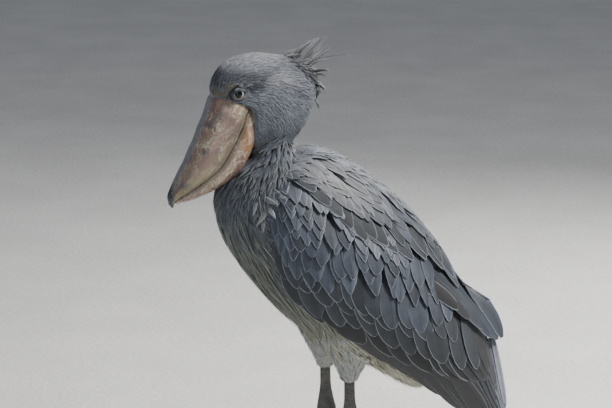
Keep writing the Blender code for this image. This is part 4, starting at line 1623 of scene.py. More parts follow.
    def build(self) -> None:
        """Builds both eyes."""
        eye, lid = self.eye_finish(), self.lid_finish()
        for name, (side, _) in FEET.items():
            finished(self.ball(f"eye_{name}_ball", side), eye, "eye", f"eye_{name}")
            finished(self.lids(f"lids_{name}", side), lid, "body_plumage")


@dataclass
class Bill:
    """The upper and the lower bill."""

    gap: float = 0.0005
    steps: int = 150
    sides: int = 96
    nostril: Span = (-0.2560, 0.8920)
    slit: Span = (0.0062, 0.0016)
    slit_depth: float = 0.0026
    # Each dark mark: its place (y, z), its half length and half height, and its strength.
    blotches: tuple = (
        (-0.2535, 0.850, 0.0075, 0.0065, 0.75), (-0.2670, 0.800, 0.0070, 0.0050, 0.80),
        (-0.2960, 0.735, 0.0130, 0.0075, 0.85), (-0.2280, 0.870, 0.0060, 0.0090, 0.35),
        (-0.2400, 0.778, 0.0110, 0.0060, 0.30), (-0.2120, 0.842, 0.0050, 0.0100, 0.30),
    )

    def rings(self, upper: bool) -> tuple[Array, Array, Array]:
        """The rings of one half of the bill.

        Args:
            upper: whether it is the upper bill.

        Returns:
            The rings, and for each point its angle round the roof and its station.
        """
        last = len(BILL_ROWS) - 1
        s = np.linspace(0.0, last, self.steps)
        sizes = spline(BILL_ROWS, s)
        ridge, mouth, keel, half = sizes[:, 0:2], sizes[:, 2:4], sizes[:, 4:6], sizes[:, 6]
        far = ridge if upper else keel
        rise = far - mouth
        lip = mouth + rise / np.linalg.norm(rise, axis=1, keepdims=True) * self.gap
        angle = np.linspace(0.0, math.pi, self.sides + 1)
        across = np.cos(angle)
        height = np.sin(angle) ** (0.80 if upper else 0.62)
        relief = np.zeros((self.steps, len(angle)))
        if upper:
            off = np.abs(angle - math.pi / 2)
            fade = np.clip((last - s) / 1.2, 0.0, 1.0)[:, None]
            relief += 0.0020 * bump(off, 0.0, 0.085)[None] * fade
            relief -= 0.0014 * bump(off, 0.19, 0.055)[None] * fade
            relief -= 0.0012 * bump(off, 1.22, 0.10)[None] * fade * np.clip(s / 1.5, 0, 1)[:, None]
        relief += 0.0007 * bump(np.minimum(angle, math.pi - angle), 0.10, 0.07)[None]
        relief += 0.0005 * np.sin(s * 5.1)[:, None] * np.sin(angle * 3.0 + 0.8 * s[:, None])
        scale = (1.0 / 1.05) if upper else 1.0
        wide = half * (1.0 if upper else 0.96)
        points = np.zeros((self.steps, len(angle), 3))
        points[..., 0] = wide[:, None] * across[None]
        points[..., 1:] = lip[:, None] + (far - lip)[:, None] * (height * scale)[None, :, None]
        centre = points.mean(1, keepdims=True)
        points += unit(points - centre) * relief[..., None]
        floor_count = 18
        t = np.linspace(0.0, 1.0, floor_count + 2)[1:-1]
        floor = points[:, -1:] * (1 - t)[None, :, None] + points[:, :1] * t[None, :, None]
        ring = np.concatenate((points, floor), 1)
        angles = np.concatenate((angle, np.zeros(floor_count)))
        return ring, np.tile(angles, (self.steps, 1)), np.repeat(s[:, None], ring.shape[1], 1)

    def half(self, name: str, upper: bool) -> Piece:
        """One half of the bill with its marks as attributes.

        Args:
            name: the piece's name.
            upper: whether it is the upper bill.

        Returns:
            The piece.
        """
        rings, angles, stations = self.rings(upper)
        pit = np.zeros(rings.shape[:2])
        if upper:
            tip = np.array((0.0, *HOOK_TIP))
            shrunk = (0.82, 0.62, 0.42, 0.22)
            rings = np.concatenate((rings, np.array([tip + (rings[-1] - tip) * share for share in shrunk])))
            angles = np.concatenate((angles, np.repeat(angles[-1:], len(shrunk), 0)))
            past = stations[-1:] + np.arange(1, len(shrunk) + 1)[:, None] * 0.2
            stations = np.concatenate((stations, past))
            y, z = rings[..., 1] - self.nostril[0], rings[..., 2] - self.nostril[1]
            along, across = np.abs(y * 0.55 + z * 0.83), np.abs(z * 0.55 - y * 0.83)
            pit = np.exp(-((along / self.slit[0]) ** 2) - ((across / self.slit[1]) ** 2))
            pit = pit * (np.abs(rings[..., 0]) > 0.012)
            rings = rings - unit(rings - rings.mean(1, keepdims=True)) * (pit * self.slit_depth)[..., None]
        x, y, z = rings.reshape(-1, 3).T
        dark = np.zeros(len(x))
        for index, (mark_y, mark_z, long, high, strength) in enumerate(self.blotches):
            shift = np.where(x < 0, 0.011 * math.sin(index * 2.4), 0.0)
            away = np.hypot((y - mark_y - shift) / long, (z - mark_z + shift) / high)
            dark = np.maximum(dark, strength * np.exp(-(away**3)) * (np.abs(x) > 0.016))
        made = loft(name, turned(rings))
        roof = np.abs(angles - math.pi / 2) / (math.pi / 2)
        carried = {
            "roof": (roof, 1.0, 1.0), "station": (stations, 0.0, 9.0), "blotch": (dark, 0.0, 0.0),
            "pit": (pit, 0.0, 0.0),
        }
        for key, (values, *hubs) in carried.items():
            put_attribute(made.data, key, np.append(values, hubs))
        return made

    def finish(self, name: str, upper: bool) -> Material:
        """Straw and pink horn with pale marbling, grey blotches, a dark hook and a painted olive reflection.

        Args:
            name: the material's name.
            upper: whether it is the upper bill's.

        Returns:
            The material.
        """
        made = Finish(name, 0.42, Specular_IOR_Level=0.45, Coat_Weight=0.12, Coat_Roughness=0.25)
        b = made.bench
        place = b.place()
        lie = {"Vector": place, "Rotation": (-0.57, 0.0, 0.0), "Scale": (1.0, 1.0, 1.9)}
        length = b.step("ShaderNodeMapping", lie, vector_type="TEXTURE")
        dark, light = (0.150, 0.088, 0.076), (0.250, 0.172, 0.135)
        horn = made.use(mottle_group, Place=length, Dark=dark, Light=light, Scale=42.0, Grain=360.0)
        roof, station = b.attribute("roof"), b.attribute("station")
        straw = (b.noise(length, 30.0, 5.0) + roof * 0.14).reach(0.58, 0.74)
        veins = made.use(vein_group, Place=length, Scale=52.0, Width=0.060, Wander=0.045)
        fine = made.use(vein_group, Place=length, Scale=120.0, Width=0.085, Wander=0.024)
        smudge = b.noise(length, 62.0, 6.0, 0.65).reach(0.52, 0.66)
        blotch = (b.attribute("blotch") * (b.noise(place, 130.0, 4.0) + 0.62)).clamped()
        colour = b.layers(
            horn["Colour"], (straw * 0.50, (0.23, 0.20, 0.115)), (fine["Mask"] * 0.60, (0.37, 0.33, 0.235)),
            (veins["Mask"] * 0.85, (0.46, 0.45, 0.35)), (smudge * 0.70, (0.125, 0.095, 0.100)),
            (blotch, (0.075, 0.065, 0.075)),
        )
        if upper:
            groove = roof.reach(0.09, 0.12) * (1.0 - roof.reach(0.12, 0.16))
            hook = (station + (1.0 - roof) * 1.1 + b.noise(place, 120.0) * 0.9).reach(7.3, 8.0)
            # painted reflected light: an olive tint on the upper bill's lower sides towards its tip stands in
            # for light reflected from grass
            olive = roof.reach(0.66, 0.86) * station.reach(3.0, 6.0)
            colour = b.layers(
                colour, ((1.0 - roof.reach(0.14, 0.34)) * 0.75, (0.135, 0.165, 0.200)),
                (groove * 0.5, (0.16, 0.11, 0.09)), (hook, (0.022, 0.030, 0.040)),
                (olive * 0.45, (0.24, 0.215, 0.085)),
            )
        else:
            patch = station.hill(1.9, 0.9) * b.noise(place, 46.0).reach(0.40, 0.56)
            colour = b.mix(patch * 0.8, colour, (0.215, 0.096, 0.028))
        lip, pit = roof.reach(0.90, 0.99) * 0.75, b.attribute("pit")
        made.colour(b.layers(colour, (lip, (0.075, 0.060, 0.045)), (pit, (0.09, 0.025, 0.015))))
        made.relief(horn["Height"] + veins["Height"] * 0.5, 0.0004, 0.8)
        return made.material

    def build(self) -> None:
        """Builds both halves."""
        finished(self.half("bill_roof", True), self.finish("upper horn", True), "bill", "bill_upper")
        finished(self.half("bill_keel", False), self.finish("lower horn", False), "bill", "bill_lower")


@dataclass(frozen=True)
class Toe:
    """A toe's heading from straight ahead towards the outside, its length and its root's radius."""

    heading: float
    length: float
    radius: float

    def line(self, side: float, foot: Span, along: Array) -> tuple[Array, Array]:
        """A line on the floor along the toe."""
        ahead = np.array((side * math.sin(self.heading), -math.cos(self.heading), 0.0))
        return np.array((*foot, 0.0)) + ahead * along[:, None], np.array((-ahead[1], ahead[0], 0.0))


TOES = {
    "middle": Toe(math.radians(6.0), 0.152, 0.0098),
    "inner": Toe(math.radians(-24.0), 0.122, 0.0088),
    "outer": Toe(math.radians(38.0), 0.128, 0.0090),
    "hind": Toe(math.radians(190.0), 0.078, 0.0086),
}


@dataclass
class Legs:
    """Both legs with their toes and claws, covered in small plates."""

    claw_length: float = 0.024

    @staticmethod
    def plates(around: Array, down: Array, wide: float) -> Array:
        """Six-sided plates on a surface: 1 in the middle of each and 0 in the grooves between.

        Args:
            around: place round the limb in metres.
            down: place along it in metres.
            wide: a plate's width in metres.

        Returns:
            The height of the pattern at each place.
        """
        x, y = around / wide, down / (wide * 0.866)
        best = np.full(x.shape, 9.0)
        second = np.full(x.shape, 9.0)
        row0 = np.floor(y)
        for dr in (-1, 0, 1, 2):
            row = row0 + dr
            shift = 0.5 * (row % 2)
            for dc in (-1, 0, 1):
                column = np.floor(x - shift) + dc + 0.5
                wobble = 0.14 * np.sin(row * 12.9 + column * 7.3)
                away = np.hypot(x - shift - column - wobble, (y - row - 0.5) * 0.866 + wobble * 0.6)
                second = np.where(away < best, best, np.minimum(second, away))
                best = np.minimum(best, away)
        return np.clip((second - best) / 0.32, 0.0, 1.0)

    def limb(self, name: str, centres: Array, radii: Array, frame_x: Array, frame_y: Array,
             plate: float, sides: int) -> Piece:
        """A plated limb along a line of centres.

        Args:
            name: the piece's name.
            centres: the line.
            radii: half width and half depth at each centre.
            frame_x: the unit vector of the half width.
            frame_y: the unit vector of the half depth.
            plate: the width of its plates.
            sides: how many points each ring has.

        Returns:
            The object, with the plates' height as an attribute.
        """
        angle = np.linspace(0, 2 * math.pi, sides, endpoint=False)
        arc = np.concatenate(((0.0,), np.cumsum(np.linalg.norm(np.diff(centres, axis=0), axis=1))))
        girth = radii.mean(1)
        whole = max(round(2 * math.pi * girth.mean() / plate), 5)
        around = angle[None] / (2 * math.pi) * whole * plate + 0 * arc[:, None]
        height = self.plates(around, np.repeat(arc[:, None], sides, 1), plate)
        grow = 1.0 - 0.0007 * (1 - height) / girth[:, None]
        rings = centres[:, None] + frame_x * (radii[:, :1] * np.cos(angle) * grow)[..., None]
        rings = rings + frame_y * (radii[:, 1:] * np.sin(angle) * grow)[..., None]
        rings[..., 2] = np.maximum(rings[..., 2], 0.0)
        made = loft(name, rings)
        put_attribute(made.data, "plate", np.append(height, (1.0, 1.0)))
        return made

    def shank(self, name: str, foot: Span) -> Piece:
        """The bare leg down to its sole.

        Args:
            name: the piece's name.
            foot: the foot's place.

        Returns:
            The piece.
        """
        z, back, wide, deep = spline(LEG_ROWS, np.linspace(0, len(LEG_ROWS) - 1, 240)).T
        z[-1] = 0.0
        centres = np.stack((np.full(len(z), foot[0]), foot[1] + back, z), 1)
        return self.limb(name, centres, np.stack((wide, deep), 1), AXIS_X, AXIS_Y, 0.0050, 72)

    def toe(self, name: str, toe: Toe, side: float, foot: Span) -> Piece:
        """A toe lying on the floor, thicker at each joint pad.

        Args:
            name: the piece's name.
            toe: its sizes.
            side: 1 at the left, -1 at the right.
            foot: the foot's place.

        Returns:
            The piece.
        """
        t = np.linspace(0.0, 1.0, 90)
        girth = toe.radius * (1.0 - 0.42 * t) * (1.0 + 0.10 * np.cos(3 * 2 * math.pi * t))
        girth[-3:] *= np.array((0.94, 0.82, 0.62))
        centres, across = toe.line(side, foot, toe.length * t)
        centres[:, 2] = girth * 0.86 + 0.002 * (1 - t)
        return self.limb(name, centres, np.stack((girth, girth), 1), across, AXIS_Z, 0.0046, 40)

    def claw(self, name: str, toe: Toe, side: float, foot: Span) -> Piece:
        """The curved claw at a toe's end.

        Args:
            name: the piece's name.
            toe: its toe's sizes.
            side: 1 at the left, -1 at the right.
            foot: the foot's place.

        Returns:
            The piece.
        """
        t = np.linspace(0.0, 1.0, 26)
        thick = toe.radius * 0.50 * (1.0 - 0.85 * t) * np.clip(0.6 + t * 8, 0.6, 1.0)
        centres, across = toe.line(side, foot, toe.length - 0.004 + self.claw_length * t)
        centres[:, 2] = np.maximum(0.0062 + 0.0045 * np.sin(2.2 * t) - 0.0062 * t * t, thick)
        angle = np.linspace(0, 2 * math.pi, 20, endpoint=False)
        ridge = 1.0 + 0.16 * bump(angle, math.pi / 2, 0.5)
        rings = centres[:, None] + across * (thick[:, None] * 0.8 * np.cos(angle))[..., None]
        rings = rings + AXIS_Z * (thick[:, None] * np.sin(angle) * ridge)[..., None]
        rings[..., 2] = np.maximum(rings[..., 2], 0.0)
        return loft(name, rings)

    def leg_finish(self) -> Material:
        """Dark plated leg skin, dusty in its grooves.

        Returns:
            The material.
        """
        look = MottledFinish("leg skin", 0.58, (0.030, 0.032, 0.032), (0.085, 0.085, 0.078), 60.0, 700.0)
        made, colour, height = look.start(Specular_IOR_Level=0.4)
        plate = made.bench.attribute("plate")
        made.colour(made.bench.mix((1.0 - plate) * 0.7, colour, (0.14, 0.135, 0.12)))
        made.relief(height + plate, 0.0004)
        return made.material

    def build(self) -> None:
        """Builds both legs."""
        leg = self.leg_finish()
        dark, light = (0.012, 0.012, 0.013), (0.06, 0.052, 0.045)
        look = MottledFinish("claw horn", 0.34, dark, light, 90.0, 1100.0, 0.00015)
        horn = look.build(Coat_Weight=0.2, Coat_Roughness=0.2)
        for name, (side, foot) in FEET.items():
            finished(self.shank(f"shank_{name}", foot), leg, "leg_skin", f"leg_{name}")
            for kind, sizes in TOES.items():
                toe = self.toe(f"toe_{name}_{kind}_plated", sizes, side, foot)
                finished(toe, leg, "leg_skin", f"toe_{name}_{kind}")
                claw = self.claw(f"claw_{name}_{kind}_horn", sizes, side, foot)
                finished(claw, horn, "claw", f"claw_{name}_{kind}")


@dataclass
class Wings:
    """Both folded wings: a dark base under tiers of feathers."""

    shop: FeatherShop
    base_depth: float = 0.0132
    base_thickness: float = 0.0100
    bases: list = field(default_factory=list)

    @staticmethod
    def tiers() -> tuple[Tier, ...]:
        """The tiers from the lowest to the highest.

        Returns:
            The tiers.
        """
        o, p, f = Outline.OVAL, Outline.POINTED, Outline.FLIGHT
        small = {"stray": 1.5, "scatter": 0.22}
        return (
            Tier("primaries", 8, ((8.97, 0.82), (8.9, 0.60), (8.7, 0.38), (8.4, 0.18), (8.05, 0.08)), (1.0,
                0.03), (0.30, 0.26), 0.0190, -0.0150, -0.0110, f, NIGHT, DEEP_SLATE, 4.0, 0.0005, stray=0.3),
            Tier("secondaries", 11, ((4.6, 1.0), (5.6, 1.0), (6.6, 0.985), (7.5, 0.97), (8.1, 0.86)), (0.97,
                0.20), (0.20, 0.20), 0.0215, -0.0142, -0.0105, f, NIGHT, NIGHT, 4.0, 0.0003, stray=0.2),
            Tier("inner_secondaries", 7, ((6.3, 0.78), (6.8, 0.62), (7.2, 0.46), (7.5, 0.28), (7.6, 0.12)),
                (0.99, 0.10), (0.20, 0.20), 0.0215, -0.0140, -0.0090, f, NIGHT, NIGHT, 4.0, 0.0003,
                stray=0.4),
            Tier("under_greater", 9, ((2.9, 0.99), (3.9, 0.97), (4.9, 0.93), (5.7, 0.86), (6.4, 0.74), (6.9,
                0.58)), (0.78, 0.40), (0.13, 0.13), 0.0240, -0.0138, -0.0072, o, NIGHT, NIGHT),
            Tier("greater", 11, ((2.2, 0.99), (3.0, 0.95), (3.65, 0.90), (4.25, 0.86), (5.05, 0.82), (5.6,
                0.72), (6.3, 0.60), (6.9, 0.40)), (0.60, 0.56), (0.15, 0.15), 0.0260, -0.0136, -0.0046, o,
                DEEP_SLATE, DEEP_SLATE),
            Tier("under_median", 9, ((2.3, 0.88), (3.2, 0.82), (4.0, 0.76), (4.8, 0.69), (5.5, 0.55), (6.0,
                0.38)), (0.60, 0.56), (0.10, 0.10), 0.0210, -0.0133, -0.0040, o, DEEP_SLATE, DEEP_SLATE),
            Tier("median", 12, ((1.6, 0.93), (2.4, 0.86), (3.25, 0.76), (3.8, 0.75), (4.5, 0.67), (5.1, 0.55),
                (5.6, 0.30)), (0.52, 0.64), (0.115, 0.115), 0.0235, -0.0131, -0.0024, o, DEEP_SLATE, SLATE),
            Tier("lower_lesser", 13, ((0.9, 0.90), (1.6, 0.87), (2.3, 0.84), (3.1, 0.66), (3.95, 0.53), (4.5,
                0.43), (5.1, 0.28)), (0.48, 0.68), (0.098, 0.098), 0.0200, -0.0127, -0.0008, p, SLATE, SLATE,
                **small),
            Tier("middle_lesser", 12, ((0.8, 0.84), (1.5, 0.80), (2.2, 0.74), (2.9, 0.62), (3.6, 0.49), (4.3,
                0.38), (4.8, 0.27)), (0.46, 0.70), (0.090, 0.090), 0.0180, -0.0126, 0.0002, p, SLATE, SLATE,
                **small),
            Tier("upper_lesser", 13, ((0.75, 0.78), (1.4, 0.73), (2.0, 0.68), (2.6, 0.60), (3.2, 0.50), (3.8,
                0.38), (4.4, 0.28)), (0.46, 0.70), (0.085, 0.085), 0.0175, -0.0125, 0.0008, o, SLATE, SLATE,
                **small),
            Tier("lower_marginal", 13, ((0.6, 0.68), (1.2, 0.62), (2.05, 0.57), (2.9, 0.46), (3.5, 0.37),
                (4.1, 0.30)), (0.42, 0.72), (0.075, 0.075), 0.0160, -0.0125, 0.0014, p, SLATE, SLATE,
                **small),
            Tier("middle_marginal", 13, ((0.55, 0.60), (1.2, 0.55), (1.95, 0.50), (2.7, 0.41), (3.3, 0.345),
                (3.9, 0.285)), (0.42, 0.72), (0.068, 0.068), 0.0145, -0.0122, 0.0018, p, SLATE, ASH, **small),
            Tier("upper_marginal", 13, ((0.5, 0.51), (1.1, 0.47), (1.9, 0.42), (2.6, 0.35), (3.1, 0.305),
                (3.6, 0.265)), (0.44, 0.70), (0.062, 0.062), 0.0140, -0.0120, 0.0021, p, SLATE, ASH, **small),
            Tier("shoulder", 12, ((0.4, 0.40), (0.9, 0.38), (1.6, 0.35), (2.2, 0.32), (2.6, 0.30)), (0.55,
                0.62), (0.056, 0.056), 0.0130, -0.0115, 0.0024, p, SLATE, ASH, **small),
            Tier("outer_primaries", 4, ((8.95, 0.16), (8.9, 0.05), (8.8, -0.06), (8.7, -0.18)), (1.0, 0.02),
                (0.15, 0.14), 0.0105, -0.0142, -0.0070, f, SLATE, (0.15, 0.165, 0.195), 4.0, 0.0008,
                stray=0.2),
            Tier("tertials", 6, ((5.7, 0.17), (6.3, 0.08), (6.85, 0.0), (7.2, -0.13), (7.42, -0.30)), (0.97,
                -0.22), (0.20, 0.21), 0.0165, -0.0138, 0.0010, f, NIGHT, SLATE, 3.0, 0.0011, stray=0.3),
            Tier("long_scapulars", 8, ((2.9, 0.27), (3.6, 0.23), (4.3, 0.15), (5.0, 0.07), (5.6, 0.02)),
                (0.94, 0.18), (0.13, 0.16), 0.0185, -0.0125, 0.0010, o, DEEP_SLATE, SLATE, 3.5),
            Tier("lower_scapulars", 10, ((1.4, 0.24), (2.05, 0.26), (2.6, 0.31), (3.05, 0.29), (3.4, 0.24),
                (4.1, 0.14), (4.8, 0.04)), (0.80, 0.42), (0.095, 0.120), 0.0180, -0.0120, 0.0022, o,
                DEEP_SLATE, DEEP_SLATE, 3.5),
            Tier("middle_scapulars", 15, ((0.9, 0.20), (1.7, 0.19), (2.4, 0.22), (3.0, 0.19), (3.7, 0.11),
                (4.5, 0.03)), (0.84, 0.38), (0.085, 0.110), 0.0140, -0.0116, 0.0026, o, SLATE, SLATE, 3.0,
                stray=1.5),
            Tier("wisps", 22, ((0.8, 0.17), (1.4, 0.15), (2.1, 0.17), (2.8, 0.14), (3.4, 0.10)), (0.80, 0.48),
                (0.070, 0.090), 0.0085, -0.0112, 0.0034, p, ASH, ASH, 2.0, stray=2.6, scatter=0.24),
            Tier("upper_scapulars", 18, ((0.8, 0.12), (1.4, 0.11), (2.1, 0.12), (2.8, 0.09), (3.5, 0.04),
                (4.3, 0.0)), (0.92, 0.24), (0.085, 0.110), 0.0120, -0.0112, 0.0030, o, ASH, SLATE, 2.5,
                stray=1.6),
            Tier("top_wisps", 24, ((0.7, 0.07), (1.3, 0.06), (2.0, 0.06), (2.7, 0.04), (3.4, 0.01)), (0.93,
                0.24), (0.080, 0.100), 0.0085, -0.0110, 0.0030, p, ASH, ASH, 2.0, stray=2.4, scatter=0.24),
            Tier("top_scapulars", 18, ((0.6, 0.02), (1.2, 0.0), (1.9, -0.01), (2.6, -0.02), (3.4, -0.03),
                (4.4, -0.03)), (0.96, 0.14), (0.085, 0.110), 0.0120, -0.0110, 0.0016, o, ASH, SLATE, 2.0,
                stray=1.4),
            Tier("back_scapulars", 18, ((0.5, -0.05), (1.1, -0.07), (1.9, -0.08), (2.7, -0.08), (3.6, -0.08),
                (4.8, -0.07)), (0.97, 0.04), (0.080, 0.100), 0.0115, -0.0105, 0.0004, o, ASH, SLATE, 1.5,
                stray=1.2),
        )

    def base(self, name: str, surface: WingSurface) -> Piece:
        """The closed base of a wing under its feathers.

        Args:
            name: the piece's name.
            surface: the wing's surface.

        Returns:
            The piece.
        """
        last, lower = 8.3, 0.97
        across, down = np.meshgrid(np.linspace(0.02, last, 72), np.linspace(0.0, lower, 24), indexing="ij")
        point, normal, _, _ = surface.frame(across, down)
        slim = np.clip(np.minimum((last - across) / 2.5 + 0.10, across + 0.35), 0.0, 1.0)
        edge = np.clip(np.minimum(0.25 + 5 * down, 0.25 + 5 * (lower - down)), 0.0, 1.0)
        thick = self.base_thickness * slim * edge + 0.0006
        outer = point - normal * self.base_depth
        inner = point - normal * (self.base_depth + thick)[..., None]
        made = loft(name, np.concatenate((outer, inner[:, ::-1]), 1))
        self.bases.append(made)
        return made

    def build_bases(self) -> None:
        """Builds the base of each wing in dark down."""
        dark, light = (0.018, 0.020, 0.026), (0.045, 0.050, 0.062)
        look = MottledFinish("wing down", 0.85, dark, light, 70.0, 800.0, 0.0006)
        down = look.build(Sheen_Weight=0.3)
        for name, surface in WINGS.items():
            finished(self.base(f"wing_{name}_base", surface), down, "flight_feathers", f"wing_{name}")

    def build(self) -> None:
        """Lays every tier on both wings."""
        flight = FeatherFinish(
            "flight feathers", rim=0.30, rim_width=0.0012, roughness=0.5, gloss=0.40
        ).build()
        soft = FeatherFinish("back feathers", **BACK_LOOK).build()
        covert = FeatherFinish(
            "covert feathers", rim_colour=(0.29, 0.33, 0.37), rim=0.95, rim_width=0.0016
        ).build()
        small = FeatherFinish("small coverts", rim_colour=(0.26, 0.29, 0.33), rim=0.85, streaks=1.0).build()
        groups = (
            ("flight", 3, flight), ("lower_coverts", 7, covert), ("upper_coverts", 14, small),
            ("scapulars", 18, covert), ("back_feathers", 24, soft),
        )
        for name, surface in WINGS.items():
            batches = [tier.feathers(surface, 40 + k) for k, tier in enumerate(self.tiers())]
            start = 0
            for label, stop, finish in groups:
                piece = self.shop.coat(f"wing_{name}_{label}", batches[start:stop], finish)
                finished(piece, finish, "flight_feathers")
                start = stop


@dataclass
class Tail:
    """The fan of tail feathers."""

    shop: FeatherShop
    root: tuple = (0.0, 0.165, 0.376)
    tip: tuple = (0.0, 0.330, 0.226)
    count: int = 12
    fan: float = 0.036
    half_width: float = 0.0185
    curve: float = 0.016

    def vanes(self) -> Plumes:
        """The tail feathers, the middle pair on top.

        Returns:
            The feathers.
        """
        draw = np.random.default_rng(71)
        root, tip = np.array(self.root), np.array(self.tip)
        line = tip - root
        up = unit(np.array((0.0, -line[2], line[1])))
        outline = Outline.FLIGHT
        t = outline.stations
        vanes = Plumes(Section.VANE)
        for i in range(self.count):
            share = 2 * i / (self.count - 1) - 1
            start = root + line * 0.05 + AXIS_X * (share * self.fan * 0.4) - up * 0.010 * abs(share)
            end = tip + AXIS_X * (share * self.fan) - line * (0.06 * share**2 + draw.uniform(0, 0.02))
            end = end - up * (self.curve * abs(share))
            path = start[None] * (1 - t)[:, None] + end[None] * t[:, None]
            path = path + up * (0.003 * np.sin(math.pi * t))[:, None]
            normal = unit(up + AXIS_X * (share * 0.35 - math.copysign(0.07, share)))
            spot = (0.1 + 0.8 * i / (self.count - 1), 0.5)
            wide = self.half_width * outline.widths
            vanes.add(path, squared(normal, path), wide, np.array(DEEP_SLATE), spot, t)
        vanes.tints = np.array(vanes.tints) * draw.uniform(0.8, 1.2, (self.count, 1, 1))
        return vanes

    def build(self) -> None:
        """Builds the fan."""
        finish = FeatherFinish("tail feathers", rim=0.5, roughness=0.5).build()
        finished(self.shop.coat("tail_fan", [self.vanes()], finish), finish, "flight_feathers", "tail")


@dataclass(frozen=True)
class Mark:
    """A soft patch of colour on the side of the head: its middle and size as (y, z) and its slope."""

    colour: Colour
    strength: float
    middle: Span
    size: Span
    slope: float = 0.0

    def share(self, y: Array, z: Array) -> Array:
        """How strongly it shows at places in the side view."""
        line = z - self.middle[1] - self.slope * (y - self.middle[0])
        return self.strength * bump(line, 0.0, self.size[1]) * bump(y, self.middle[0], self.size[0])


STREAK = Mark((0.028, 0.032, 0.043), 0.9, (-0.160, 0.93254), (0.028, 0.0075), 0.74)
PALE_TEMPLE = Mark((0.235, 0.235, 0.245), 0.8, (-0.120, 0.936), (0.026, 0.012))
# painted shade: a dark line stands in for the shadow in a fold of the head's feathers
FOLD_SHADE = Mark((0.060, 0.066, 0.082), 0.75, (-0.092, 0.9129), (0.024, 0.006), -0.45)


